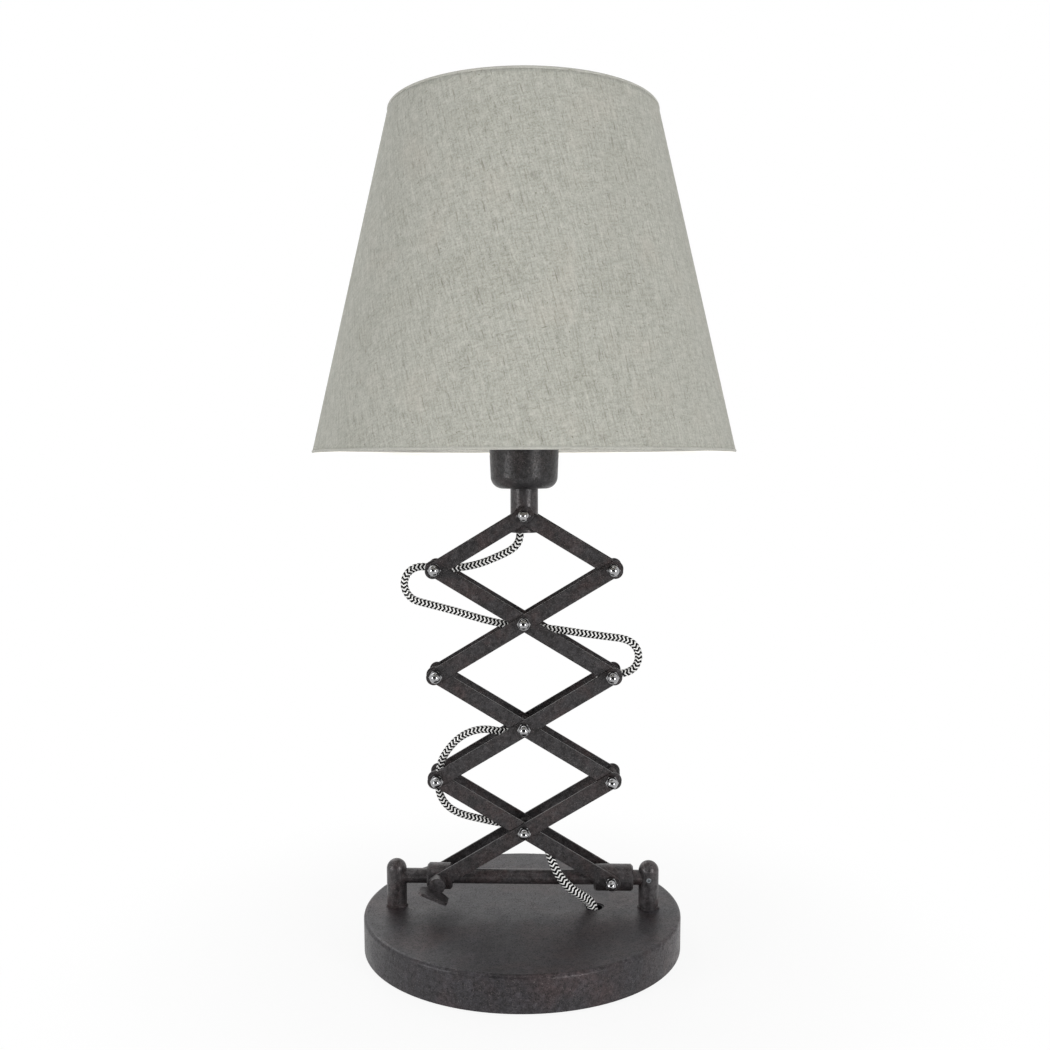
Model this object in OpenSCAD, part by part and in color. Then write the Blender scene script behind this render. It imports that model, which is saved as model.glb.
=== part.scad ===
// Accordion desk lamp, in millimetres.
// A round weighted base carries two posts with a guide rod between them.
// A scissor linkage, paired front and rear, stands on two collars on the rod:
// the right collar is pinned, and the left one slides and is held by a wing screw.
// The linkage carries a stem, a cupped lampholder and a conical linen shade.
// The origin is the centre of the base on the table, +Z is up and -Y is the front.

/* [Base] */
// Diameter of the round base
base_dia = 190; // [184:1:260]
// Height of the base's flat top above the table
base_height = 22; // [20:0.5:32]
// Wall of the pressed steel cover
cover_wall = 1.5; // [1:0.1:2]
// Outer radius of the cover's rounded top edge
cover_edge_radius = 2.2; // [2.1:0.1:4]
// Height of the cover's lower edge above the table
cover_lift = 1; // [0.5:0.1:1.5]
// Gap between the cover's wall and the cast weight
weight_gap = 3.5; // [3:0.1:5]
// Thickness of the cast weight's plate
weight_thickness = 10; // [7.5:0.5:10]
// Thickness of the felt under the base
felt_thickness = 2; // [1.5:0.25:3]
// Gap between the cover's wall and the felt
felt_gap = 1.5; // [0.5:0.1:3]
// How far the flex hole lies to the right of the base's centre
flex_hole_x = 43.4; // [30:0.1:55]
// Diameter of the flex hole in the base's top
flex_hole_dia = 12.4; // [11:0.1:15]
// Diameter of the mains inlet's hole in the rear wall
inlet_hole_dia = 9; // [8:0.1:10]
// Height of the mains inlet above the table
inlet_height = 12.5; // [12:0.1:14]

/* [Posts and guide rod] */
// Diameter of the two posts
post_dia = 12; // [11:0.1:14]
// Gap between the fixed collar's end and the right post; the left post mirrors its place
post_gap = 3.5; // [2:0.1:8]
// Diameter of the flange at each post's foot
post_foot_dia = 13.2; // [12.2:0.1:18]
// Thickness of the flange at each post's foot
post_foot_height = 1.2; // [0.6:0.1:3]
// Height of the rod's axis above the base's top
rod_rise = 18.5; // [17:0.1:24]
// Height of the posts' round tops above the rod's axis
post_top_rise = 10.5; // [8:0.1:16]
// Diameter of the guide rod
rod_dia = 9; // [8:0.1:9.6]
// Diameter of the rod's turned-down ends
spigot_dia = 6; // [5:0.1:7]
// How deep the full rod sits in each post
rod_seat = 2.5; // [1:0.1:3]
// Length of each turned-down end
spigot_length = 6.5; // [5:0.1:7]

/* [Collars] */
// Diameter of the two collars on the rod
collar_dia = 16; // [14:0.1:16]
// Length of the sliding collar
slider_length = 15; // [12:0.5:15.5]
// How far the fixed collar reaches left of its pivot
fixed_collar_left = 10; // [7:0.5:12]
// How far the fixed collar reaches right of its pivot
fixed_collar_right = 13.5; // [8:0.5:14]
// Chamfer on the collars' ends
collar_chamfer = 1.2; // [0.3:0.1:1.8]
// Clearance between the sliding collar and the rod, on the radius
sliding_clearance = 0.1; // [0.05:0.01:0.1]

/* [Scissor linkage] */
// Distance from one pivot to the next along an arm
arm_pitch = 60; // [50:0.5:66]
// Slope of the arms as the lamp stands
arm_slope = 31.2; // [20:0.1:50]
// Width of the flat arms
arm_width = 9; // [8:0.1:11]
// Thickness of the flat arms
arm_thickness = 1.5; // [1:0.1:2.5]
// Length of each arm past its end holes
arm_overhang = 6; // [5.7:0.1:7]
// Chamfer along the arms' edges
arm_chamfer = 0.3; // [0.1:0.05:0.45]
// Gap between arms that slide over each other
arm_gap = 0.1; // [0.05:0.01:0.3]
// How far the fixed pivot lies to the right of the base's centre
fixed_pivot_x = 53; // [48:0.5:56]
// Diameter of the pivot bolts and studs
bolt_dia = 4; // [3.6:0.1:4.4]
// Running clearance in the arms' holes, on the radius
pivot_clearance = 0.06; // [0.02:0.01:0.1]
// Diameter of the bolts' button heads
bolt_head_dia = 7.6; // [6.6:0.1:8.6]
// Height of the bolts' button heads
bolt_head_height = 2.2; // [1.6:0.1:2.4]
// Width of the acorn nuts across their flats
nut_width = 6.8; // [6.6:0.1:8]
// Height of the acorn nuts' hexagon
nut_hex_height = 3.2; // [2.4:0.1:3.6]
// Diameter of the acorn nuts' dome
nut_dome_dia = 6.3; // [5.8:0.1:6.5]
// Full height of the acorn nuts
nut_height = 8; // [7.4:0.1:10]

/* [Wing screw] */
// Diameter of the wing screw's hub
wing_hub_dia = 9.5; // [7:0.1:11]
// Length of the wing screw's hub
wing_hub_length = 6.8; // [6:0.1:12]
// Width of the wing
wing_width = 18; // [14:0.5:26]
// Length of the wing from its root to its front edge
wing_length = 12.5; // [9:0.5:24]
// Thickness of the wing
wing_thickness = 1.8; // [1.6:0.1:4]
// How far the wing lies below the screw's axis
wing_drop = 4; // [0:0.1:4.2]
// Turn of the wing from level, right end down
wing_turn = 23; // [0:1:60]

/* [Stem and lampholder] */
// Diameter of the stem
stem_dia = 16; // [14:0.1:16]
// Wall of the stem's tube
stem_wall = 1.2; // [0.8:0.1:1.4]
// Length of the stem below its pivot
stem_below = 10; // [9.5:0.1:10.5]
// Length of the stem above its pivot
stem_above = 15.3; // [13:0.1:24]
// Outer diameter of the threaded nipple
nipple_dia = 10; // [9:0.1:11]
// Bore of the threaded nipple
nipple_bore = 7; // [6:0.1:7.5]
// Height of the lampholder's cup
cup_height = 40; // [38:0.5:46]
// Diameter of the cup at its rim
cup_rim_dia = 41.5; // [41:0.1:43]
// Diameter of the cup above its rounded bottom
cup_low_dia = 38.8; // [38:0.1:39.6]
// Radius of the cup's rounded bottom edge
cup_corner = 7; // [5:0.1:9]
// Wall of the cup
cup_wall = 1.2; // [0.8:0.1:1.4]
// Bore of the lamp socket's screw shell
socket_bore = 26.6; // [26.4:0.05:26.9]
// Depth of the screw shell
socket_depth = 24; // [22.2:0.2:25]
// Outer diameter of the lampholder's threaded skirt
skirt_dia = 39.4; // [38.6:0.1:39.6]
// Height of the threaded skirt above the holder's shoulder
skirt_height = 16; // [12:0.5:20]
// Thickness of the holder's shoulder on the cup's rim
shoulder_height = 2; // [1:0.1:3]

/* [Shade] */
// Diameter of the shade at its lower edge
shade_bottom_dia = 240; // [200:1:300]
// Diameter of the shade at its upper edge
shade_top_dia = 150; // [110:1:190]
// Height of the shade
shade_height = 186; // [140:1:240]
// Height of the shade's lower edge above the cup's underside
shade_lift = 21.2; // [16:0.1:26]
// Thickness of the lined linen wall
shade_wall = 0.8; // [0.6:0.1:1.6]
// Radius of the rolled edges
shade_hem_radius = 0.8; // [0.7:0.05:1.2]
// Diameter of the shade's wires
shade_wire_dia = 3; // [2:0.1:3.6]
// Outer diameter of the shade's fitting ring
fitting_dia = 54; // [50:0.5:70]
// Thickness of the shade's fitting ring
fitting_thickness = 1.5; // [1:0.1:2]
// Outer diameter of the clamp ring over the fitting
clamp_ring_dia = 52; // [46:0.5:60]
// Height of the clamp ring
clamp_ring_height = 7; // [5:0.5:9]

/* [Flex] */
// Diameter of the braided flex
flex_dia = 4.4; // [4:0.05:4.5]

/* [Hidden] */
$fn = 64;

// Colours, as the photograph shows them
antique_metal = [0.25, 0.24, 0.24];
chrome_metal = [0.78, 0.78, 0.8];
linen = [0.7, 0.69, 0.65];
braid = [0.35, 0.35, 0.36];
black_plastic = [0.06, 0.06, 0.06];
brass_metal = [0.78, 0.62, 0.3];
white_coat = [0.86, 0.85, 0.82];

// Small fixed sizes of bought parts and machining
cut = 1;                        // how far a cutting shape runs past the face it cuts
thread_clearance = 0.05;        // between a thread's core and its hole, on the radius
screw_dia = 5;                  // the posts' screws
screw_head_dia = 8.5;
screw_head_height = 4;
screw_head_recess = 0.5;        // how far a screw's head stays above the felt
screw_hole_clearance = 0.25;
screw_reach = 10;               // how far a screw reaches into its post
blind_run = 1;                  // how far a blind hole runs past its screw
set_screw_dia = 3;
set_screw_key = 1.5;            // width of the key's hexagon
set_screw_key_depth = 1.2;
boss_dia = 24;                  // the cast weight's bosses under the posts
inlet_flange_dia = 12;
inlet_flange = 1.6;             // how far the inlet's flange stands out of the wall
inlet_neck = 1.8;               // how far its neck reaches inside the wall
inlet_bore = 6.4;
deck_bush_flange_dia = 17;
deck_bush_flange = 1.5;
deck_bush_wall = 1.1;
deck_bush_floor = 2;
deck_bush_length = 8;
deck_bush_recess = 0.5;         // how far the bush's lip stays below the base's top
spacer_dia = 8.4;
spacer_seat = 1.6;              // how far a spacer is coped over the round collar
tip_gap = 0.1;                  // between a screw's tip and the guide rod
wing_corner = 2.5;
wing_root_overlap = 2;          // length of the wing that runs back along its hub
wing_flare = 0.3;               // share of the wing's length over which it widens
nut_shank = 5;                  // how far a bolt's end reaches into its acorn nut
plug_length = 6;                // solid top of the stem that takes the nipple
nipple_grip = 5;                // thread of the nipple inside the stem
nipple_rise = 9;                // thread of the nipple above the cup's floor
stem_bush_length = 4;
holder_gap = 0.3;               // between the lampholder's body and the cup
shell_wall = 0.5;
shell_recess = 2;               // how far the screw shell's mouth lies below the skirt's
contact_dia = 8;
contact_height = 1.5;
fitting_clearance = 0.5;        // between the fitting ring and the skirt, on the radius
ring_clearance = 0.15;          // between the clamp ring and the skirt, on the radius
wire_clearance = 0.2;           // between the shade's wires and its wall
spoke_count = 3;
spoke_sink = 0.1;               // how far a spoke lies below the fitting ring's top
spoke_short = 0.4;              // how far a spoke ends before the lower wire's middle
grip_count = 24;                // flutes round the clamp ring
grip_radius = 1.4;
grip_shift = 0.6;               // how far the flutes' centres lie outside the ring
flex_sides = 8;
flex_gap = 0.1;                 // between two of the flex's stretches

// Heights on the base
rod_z = base_height + rod_rise;
deck_under = base_height - cover_wall;
weight_dia = base_dia - 2 * (cover_wall + weight_gap);
weight_top = felt_thickness + weight_thickness;
felt_dia = base_dia - 2 * (cover_wall + felt_gap);
post_x = fixed_pivot_x + fixed_collar_right + post_gap + post_dia / 2;
rod_half = post_x - post_dia / 2 + rod_seat;
screw_seat_z = felt_thickness + screw_head_recess + screw_head_height;
// Middle of a rod's end, measured from its post's centre
spigot_middle = -post_dia / 2 + rod_seat + spigot_length / 2;

// The linkage's lattice: a pivot's column is -1, 0 or 1 and its level counts half-stages
step_x = arm_pitch * cos(arm_slope);
step_z = arm_pitch * sin(arm_slope);
function pivot(column, level) = [fixed_pivot_x - (1 - column) * step_x, 0, rod_z + level * step_z];
slider_x = pivot(-1, 0).x;
mast_x = pivot(0, 7).x;
head_z = pivot(0, 7).z;

// Layers counted outwards from the lamp's middle plane
inner_layer = collar_dia / 2 + arm_gap;
outer_layer = inner_layer + arm_thickness + arm_gap;
outer_face = outer_layer + arm_thickness;
inner_nut_seat = inner_layer + arm_thickness + arm_gap;
outer_nut_seat = outer_face + arm_gap;
bolt_hole = bolt_dia / 2 + pivot_clearance;

// Pivots whose bolts turn with each stage's rising arm
stage_1_pivots = [pivot(0, 1), pivot(1, 2)];
stage_2_pivots = [pivot(-1, 2), pivot(0, 3), pivot(1, 4)];
stage_3_pivots = [pivot(-1, 4), pivot(0, 5), pivot(1, 6)];
top_pivots = [pivot(-1, 6)];

// Heights on the head
cup_z = head_z + stem_above;
rim_z = cup_z + cup_height;
shoulder_z = rim_z + shoulder_height;
skirt_z = shoulder_z + skirt_height;
shell_top = skirt_z - shell_recess;
shell_bottom = shell_top - socket_depth;
shade_z = cup_z + shade_lift;
shade_slope = atan((shade_bottom_dia - shade_top_dia) / 2 / shade_height);
stem_bore = stem_dia - 2 * stem_wall;
flex_shift = 2.5;               // the flex leaves the stem this far left of its axis

// Radius of the shade's inner face at a height above its lower edge
function shade_inside(height) =
    shade_bottom_dia / 2 - height * tan(shade_slope) - shade_wall / cos(shade_slope);
function wire_ring_radius(height) =
    shade_inside(height) - (shade_wire_dia / 2 + wire_clearance) / cos(shade_slope);
low_wire_height = shade_hem_radius + shade_wire_dia / 2;
top_wire_height = shade_height - low_wire_height;

// The flex's route, chosen by hand, from the stem's bush down into the base
flex_route = [
    [-0.8, 0, 252], [-0.8, 0, 247.2], [-1.4, 0, 243.6], [-3.2, 0, 240.4], [-6, 0, 238],
    [-10.4, 0, 235.6], [-16.6, 0, 232.8], [-25.4, 0, 229.6], [-37, 0, 227.4], [-49.6, 0, 227],
    [-55, 0, 227.8], [-60.4, 0, 227.8], [-65.2, 0, 225.6], [-68.2, 0, 221.2], [-68.6, 0, 215.9],
    [-66.8, 0, 211.8], [-63.5, 0, 208.7], [-58.4, 0, 206.9], [-51, 0, 205], [-39, 0, 201.8],
    [-25.5, 0, 197.8], [-12, 0, 194.6], [1, 0, 192.9], [13, 0, 191.9], [24, 0, 190.6],
    [36, 0, 188.8], [48, 0, 187.2], [54.4, 0, 186.4], [60.2, 0, 185.4], [65.2, 0, 182.8],
    [68.2, 0, 178.2], [68.4, 0, 172.8], [65.8, 0, 168.1], [61.6, 0, 165.6], [57.2, 0, 164.8],
    [53, 0, 164.8], [48, 0, 163], [43, 0, 159.4], [33, 0, 151.6], [22, 0, 143.8], [11, 0, 137],
    [2, 0, 132], [-5, 0, 129.8], [-12, 0, 129.8], [-20.5, 0, 131], [-29.5, 0, 129.8],
    [-37.6, 0, 125.4], [-44, 0, 118.6], [-48.2, 0, 111], [-49.6, 0, 102.7], [-50, 0, 95.4],
    [-48, 0, 88.6], [-43.2, 0, 82.8], [-36, 0, 79], [-26, 0, 76.4], [-12, 0, 73.6],
    [1.7, 0, 71.6], [10, -1.8, 67.4], [14.6, -4, 60.8], [17.6, -6.2, 53.4], [20.8, -7.4, 46.6],
    [25, -7.5, 40.4], [30, -6.4, 35], [35.4, -4, 30.6], [40, -1.6, 26.2], [42.8, -0.3, 20.6],
    [43.4, 0, 17], [43.4, 0, 14]
];
// The points where its four stretches end: those between two stretches lie on the
// linkage's pivots, so each stretch turns with its own arm
flex_ends = [0, 9, 35, 49, 67];

// Corner-cut bar outline across an arm: width along X, thickness along Y
module bar_section(width, thickness, chamfer) {
    half = width / 2;
    polygon([
        [-half, chamfer], [-half + chamfer, 0], [half - chamfer, 0], [half, chamfer],
        [half, thickness - chamfer], [half - chamfer, thickness],
        [-half + chamfer, thickness], [-half, thickness - chamfer]
    ]);
}

// Round end of an arm, with the same chamfer all round
module bar_end(width, thickness, chamfer) {
    rotate_extrude()
        intersection() {
            bar_section(width, thickness, chamfer);
            square([width, thickness]);
        }
}

// Flat arm with chamfered edges: its holes lie along X from the origin, one pitch apart.
// It fills Z from 0 to its thickness.
module flat_arm(hole_count) {
    span = (hole_count - 1) * arm_pitch;
    past = arm_overhang - arm_width / 2;
    difference() {
        union() {
            translate([-past, 0, 0])
                rotate([90, 0, 90])
                    linear_extrude(span + 2 * past)
                        bar_section(arm_width, arm_thickness, arm_chamfer);
            for (x = [-past, span + past])
                translate([x, 0, 0])
                    bar_end(arm_width, arm_thickness, arm_chamfer);
        }
        for (index = [0 : hole_count - 1])
            translate([index * arm_pitch, 0, -cut])
                cylinder(h = arm_thickness + 2 * cut, r = bolt_hole);
    }
}

// Stands what lies flat at a pivot upright in a layer of the linkage.
// Turn is the slope from +X, and side is -1 for the front and 1 for the rear.
module on_linkage(place, turn, side, layer) {
    translate([place.x, side * (layer + (side > 0 ? arm_thickness : 0)), place.z])
        rotate([0, -turn, 0])
            rotate([90, 0, 0])
                children();
}

module falling_arm(stage, side) {
    color(antique_metal)
        on_linkage(pivot(1, 2 * stage - 2), 180 - arm_slope, side, inner_layer)
            flat_arm(3);
}

module rising_arm(stage, side) {
    color(antique_metal)
        on_linkage(pivot(-1, 2 * stage - 2), arm_slope, side, outer_layer)
            flat_arm(3);
}

module falling_top_arm(side) {
    color(antique_metal)
        on_linkage(pivot(1, 6), 180 - arm_slope, side, inner_layer)
            flat_arm(2);
}

module rising_top_arm(side) {
    color(antique_metal)
        on_linkage(pivot(-1, 6), arm_slope, side, outer_layer)
            flat_arm(2);
}

// Places a thing made along +Z so that it points straight out of the front or the rear
module pointing_out(place, side, distance) {
    translate([place.x, side * distance, place.z])
        rotate([-90 * side, 0, 0])
            children();
}

// Button-head bolt: its head's flat face is at Z = 0 and its shank rises from there
module button_bolt(length) {
    key = bolt_dia * 0.6;
    difference() {
        union() {
            cylinder(h = length, d = bolt_dia);
            translate([0, 0, -bolt_head_height])
                rotate_extrude()
                    intersection() {
                        square([bolt_head_dia / 2, bolt_head_height]);
                        translate([0, bolt_head_dia / 2 + bolt_head_height * 0.1])
                            circle(d = bolt_head_dia * 1.2);
                    }
        }
        translate([0, 0, -bolt_head_height - cut])
            cylinder(h = cut + bolt_head_height / 2, d = key, $fn = 6);
    }
}

// Acorn nut: its hexagon's seat is at Z = 0 and its dome points up
module acorn_nut() {
    corner_dia = nut_width / cos(30);
    difference() {
        union() {
            intersection() {
                cylinder(h = nut_hex_height, d = corner_dia, $fn = 6);
                cylinder(h = nut_hex_height, r1 = nut_width / 2 + nut_hex_height, r2 = nut_width / 2 + 0.15);
            }
            cylinder(h = nut_height - nut_dome_dia / 2, d = nut_dome_dia);
            translate([0, 0, nut_height - nut_dome_dia / 2])
                sphere(d = nut_dome_dia);
        }
        translate([0, 0, -cut])
            cylinder(h = nut_shank + 0.3 + cut, r = bolt_dia / 2 + thread_clearance);
    }
}

// Bolt and nut positions of a linkage's stage, on both sides
module bolts_at(places) {
    color(antique_metal)
        for (place = places, side = [-1, 1])
            pointing_out(place, side, inner_layer - arm_gap)
                button_bolt(outer_face + nut_shank - (inner_layer - arm_gap));
}

module nuts_at(places, seat) {
    color(chrome_metal)
        for (place = places, side = [-1, 1])
            pointing_out(place, side, seat)
                acorn_nut();
}

// Pressed steel cap over the base, open below, with holes for the posts' screws,
// the flex and the mains inlet
module base_cover() {
    radius = base_dia / 2;
    inner_edge = cover_edge_radius - cover_wall;
    color(antique_metal)
        difference() {
            rotate_extrude()
                difference() {
                    translate([0, cover_lift])
                        rounded_cap(radius, base_height - cover_lift, cover_edge_radius);
                    rounded_cap(radius - cover_wall, deck_under, inner_edge);
                }
            translate([flex_hole_x, 0, deck_under - cut])
                cylinder(h = cover_wall + 2 * cut, d = flex_hole_dia);
            for (side = [-1, 1])
                translate([side * post_x, 0, deck_under - cut])
                    cylinder(h = cover_wall + 2 * cut, r = screw_dia / 2 + screw_hole_clearance);
            translate([0, radius - 2 * cover_wall - cut, inlet_height])
                rotate([-90, 0, 0])
                    cylinder(h = 3 * cover_wall + 2 * cut, d = inlet_hole_dia);
        }
}

// Half outline of a cap with a rounded upper edge, for turning
module rounded_cap(radius, height, edge) {
    square([radius, height - edge]);
    square([radius - edge, height]);
    translate([radius - edge, height - edge])
        circle(r = edge);
}

// Cast disc with a boss under each post and pockets for the screws' heads
module base_weight() {
    color([0.2, 0.2, 0.2])
        difference() {
            union() {
                translate([0, 0, felt_thickness])
                    cylinder(h = weight_thickness, d = weight_dia);
                for (side = [-1, 1])
                    translate([side * post_x, 0, felt_thickness])
                        cylinder(h = deck_under - felt_thickness, d = boss_dia);
            }
            for (side = [-1, 1])
                translate([side * post_x, 0, 0]) {
                    cylinder(h = base_height, r = screw_dia / 2 + screw_hole_clearance);
                    cylinder(h = screw_seat_z, r = screw_head_dia / 2 + 2 * screw_hole_clearance);
                }
        }
}

module base_felt() {
    color([0.1, 0.1, 0.1])
        cylinder(h = felt_thickness, d = felt_dia);
}

// Plastic bush of the mains inlet: its flange follows the round wall
module mains_bush() {
    radius = base_dia / 2;
    inside = radius - cover_wall - inlet_neck;
    color(black_plastic)
        difference() {
            union() {
                intersection() {
                    translate([0, inside, inlet_height])
                        rotate([-90, 0, 0])
                            cylinder(h = base_dia, d = inlet_flange_dia);
                    difference() {
                        cylinder(h = base_height, r = radius + inlet_flange, $fn = 360);
                        translate([0, 0, -cut])
                            cylinder(h = base_height + 2 * cut, r = radius, $fn = 360);
                    }
                }
                translate([0, inside, inlet_height])
                    rotate([-90, 0, 0])
                        cylinder(
                            h = cover_wall + inlet_neck + inlet_flange / 2,
                            r = inlet_hole_dia / 2 - thread_clearance
                        );
            }
            translate([0, inside - cut, inlet_height])
                rotate([-90, 0, 0])
                    cylinder(h = base_dia, d = inlet_bore);
        }
}

// Black sleeve under the flex hole: its floor holds the flex
module deck_bush() {
    sleeve = flex_hole_dia / 2 - thread_clearance;
    top = base_height - deck_bush_recess;
    color(black_plastic)
        translate([flex_hole_x, 0, 0])
            difference() {
                union() {
                    translate([0, 0, top - deck_bush_length])
                        cylinder(h = deck_bush_length, r = sleeve);
                    translate([0, 0, deck_under - deck_bush_flange])
                        cylinder(h = deck_bush_flange, d = deck_bush_flange_dia);
                }
                translate([0, 0, top - deck_bush_length + deck_bush_floor])
                    cylinder(h = deck_bush_length, r = sleeve - deck_bush_wall);
                translate([0, 0, top - deck_bush_length - cut])
                    cylinder(h = deck_bush_floor + 2 * cut, r = flex_dia / 2 + thread_clearance);
            }
}

// Turned post with a flanged foot and a round top: the rod's seat faces the lamp's middle
module post() {
    ball_z = rod_rise + post_top_rise - post_dia / 2;
    difference() {
        union() {
            cylinder(h = post_foot_height, d = post_foot_dia);
            cylinder(h = ball_z, d = post_dia);
            translate([0, 0, ball_z])
                sphere(d = post_dia);
        }
        translate([0, 0, -cut])
            cylinder(h = screw_reach + blind_run + cut, r = screw_dia / 2 + thread_clearance);
        translate([-post_dia / 2 + rod_seat, 0, rod_rise])
            rotate([0, -90, 0])
                cylinder(h = post_dia, r = rod_dia / 2 + thread_clearance);
        translate([-post_dia / 2 + rod_seat + spigot_length + 0.2, 0, rod_rise])
            rotate([0, -90, 0])
                cylinder(h = post_dia, r = spigot_dia / 2 + thread_clearance);
        translate([spigot_middle, 0, rod_rise])
            rotate([90, 0, 0])
                cylinder(h = post_dia, r = set_screw_dia / 2 + thread_clearance);
    }
}

module post_left() {
    color(antique_metal)
        translate([-post_x, 0, base_height])
            rotate([0, 0, 180])
                post();
}

module post_right() {
    color(antique_metal)
        translate([post_x, 0, base_height])
            post();
}

// Screws that hold the posts through the cover and the weight
module post_screws() {
    color(chrome_metal)
        for (side = [-1, 1])
            translate([side * post_x, 0, screw_seat_z]) {
                cylinder(h = base_height + screw_reach - screw_seat_z, d = screw_dia);
                translate([0, 0, -screw_head_height])
                    cylinder(h = screw_head_height, d = screw_head_dia);
            }
}

// Headless set screws, in the right post's front and the left post's rear:
// their tips bear on the rod's ends
module rod_set_screws() {
    length = post_dia / 2 - 0.6 - spigot_dia / 2;
    color(chrome_metal)
        for (side = [-1, 1])
            translate([side * (post_x + spigot_middle), -side * spigot_dia / 2, rod_z])
                rotate([side * 90, 0, 0])
                    difference() {
                        cylinder(h = length, d = set_screw_dia);
                        translate([0, 0, length - set_screw_key_depth])
                            cylinder(h = set_screw_key_depth + cut, d = set_screw_key / cos(30), $fn = 6);
                    }
}

// Guide rod with turned-down ends and a cross hole for the fixed pivot's stud
module guide_rod() {
    color(antique_metal)
        difference() {
            translate([0, 0, rod_z])
                rotate([0, 90, 0]) {
                    cylinder(h = 2 * rod_half, d = rod_dia, center = true);
                    cylinder(h = 2 * (rod_half + spigot_length), d = spigot_dia, center = true);
                }
            translate([fixed_pivot_x, 0, rod_z])
                rotate([90, 0, 0])
                    cylinder(h = 2 * rod_dia, r = bolt_dia / 2 + thread_clearance, center = true);
        }
}

// Round collar along the rod with chamfered ends: left and right are its reaches from the pivot
module collar(left, right, bore) {
    radius = collar_dia / 2;
    translate([-left, 0, 0])
        rotate([0, 90, 0])
            rotate_extrude()
                polygon([
                    [bore, 0], [radius - collar_chamfer, 0], [radius, collar_chamfer],
                    [radius, left + right - collar_chamfer], [radius - collar_chamfer, left + right],
                    [bore, left + right]
                ]);
}

module fixed_collar() {
    color(antique_metal)
        translate([fixed_pivot_x, 0, rod_z])
            difference() {
                collar(fixed_collar_left, fixed_collar_right, rod_dia / 2 + thread_clearance);
                rotate([90, 0, 0])
                    cylinder(h = collar_dia + 2 * cut, r = bolt_dia / 2 + thread_clearance, center = true);
            }
}

// Stud through the fixed collar and the rod
module fixed_pivot_stud() {
    color(antique_metal)
        translate([fixed_pivot_x, 0, rod_z])
            rotate([90, 0, 0])
                cylinder(h = 2 * (inner_nut_seat + nut_shank), d = bolt_dia, center = true);
}

module fixed_pivot_nuts() {
    nuts_at([pivot(1, 0)], inner_nut_seat);
}

module sliding_collar() {
    color(antique_metal)
        translate([slider_x, 0, rod_z])
            difference() {
                collar(slider_length / 2, slider_length / 2, rod_dia / 2 + sliding_clearance);
                rotate([90, 0, 0])
                    cylinder(h = collar_dia + 2 * cut, r = bolt_hole, center = true);
            }
}

// Coped spacers between the sliding collar and the outer arms
module slider_spacers() {
    color(antique_metal)
        for (side = [-1, 1])
            difference() {
                pointing_out(pivot(-1, 0), side, collar_dia / 2 - spacer_seat)
                    difference() {
                        cylinder(h = outer_layer - arm_gap - collar_dia / 2 + spacer_seat, d = spacer_dia);
                        translate([0, 0, -cut])
                            cylinder(h = collar_dia, r = bolt_hole);
                    }
                translate([slider_x, 0, rod_z])
                    rotate([0, 90, 0])
                        cylinder(h = 2 * slider_length, d = collar_dia + 2 * thread_clearance, center = true);
            }
}

// Button-head screw that pins the rear arm to the sliding collar
module slider_rear_screw() {
    tip = rod_dia / 2 + tip_gap;
    color(antique_metal)
        translate([slider_x, outer_nut_seat, rod_z])
            rotate([90, 0, 0])
                button_bolt(outer_nut_seat - tip);
}

// Wing screw: its shank pins the front arm and its tip clamps the collar to the rod
module wing_screw() {
    tip = rod_dia / 2 + tip_gap;
    color(antique_metal)
        pointing_out(pivot(-1, 0), -1, tip)
            rotate([0, 0, -wing_turn]) {
                cylinder(h = outer_nut_seat - tip + cut, d = bolt_dia);
                translate([0, 0, outer_nut_seat - tip]) {
                    cylinder(h = wing_hub_length, d = wing_hub_dia);
                    translate([0, wing_thickness / 2 - wing_drop, wing_hub_length - wing_root_overlap])
                        rotate([90, 0, 0])
                            linear_extrude(wing_thickness)
                                wing_outline();
                }
            }
}

// Wing with two rounded front corners, growing along +Y from its root
module wing_outline() {
    half = wing_width / 2;
    root = wing_hub_dia / 2;
    flare = wing_length * wing_flare;
    polygon([
        [-root, 0], [root, 0], [half, flare], [half, wing_length - wing_corner],
        [half - wing_corner, wing_length], [wing_corner - half, wing_length],
        [-half, wing_length - wing_corner], [-half, flare]
    ]);
    for (side = [-1, 1])
        translate([side * (half - wing_corner), wing_length - wing_corner])
            circle(r = wing_corner);
}

// Tubular stem: a solid top takes the nipple, and its pivot holes run front to rear
module stem() {
    color(antique_metal)
        translate([mast_x, 0, head_z])
            difference() {
                translate([0, 0, -stem_below])
                    cylinder(h = stem_below + stem_above, d = stem_dia);
                translate([0, 0, -stem_below - cut])
                    cylinder(h = stem_below + stem_above - plug_length + cut, d = stem_bore);
                cylinder(h = 2 * stem_above, r = nipple_dia / 2 + thread_clearance);
                rotate([90, 0, 0])
                    cylinder(h = stem_dia + 2 * cut, r = bolt_dia / 2 + thread_clearance, center = true);
            }
}

// Plastic bush in the stem's lower end, with the flex's hole beside the stud
module stem_bush() {
    color(black_plastic)
        translate([mast_x, 0, head_z - stem_below])
            difference() {
                cylinder(h = stem_bush_length, r = stem_bore / 2 - thread_clearance);
                translate([-flex_shift, 0, -cut])
                    cylinder(h = stem_bush_length + 2 * cut, r = flex_dia / 2 + thread_clearance);
            }
}

module stem_pivot_stud() {
    color(antique_metal)
        translate([mast_x, 0, head_z])
            rotate([90, 0, 0])
                cylinder(h = 2 * (outer_nut_seat + nut_shank), d = bolt_dia, center = true);
}

module stem_pivot_nuts() {
    nuts_at([pivot(0, 7)], outer_nut_seat);
}

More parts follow.
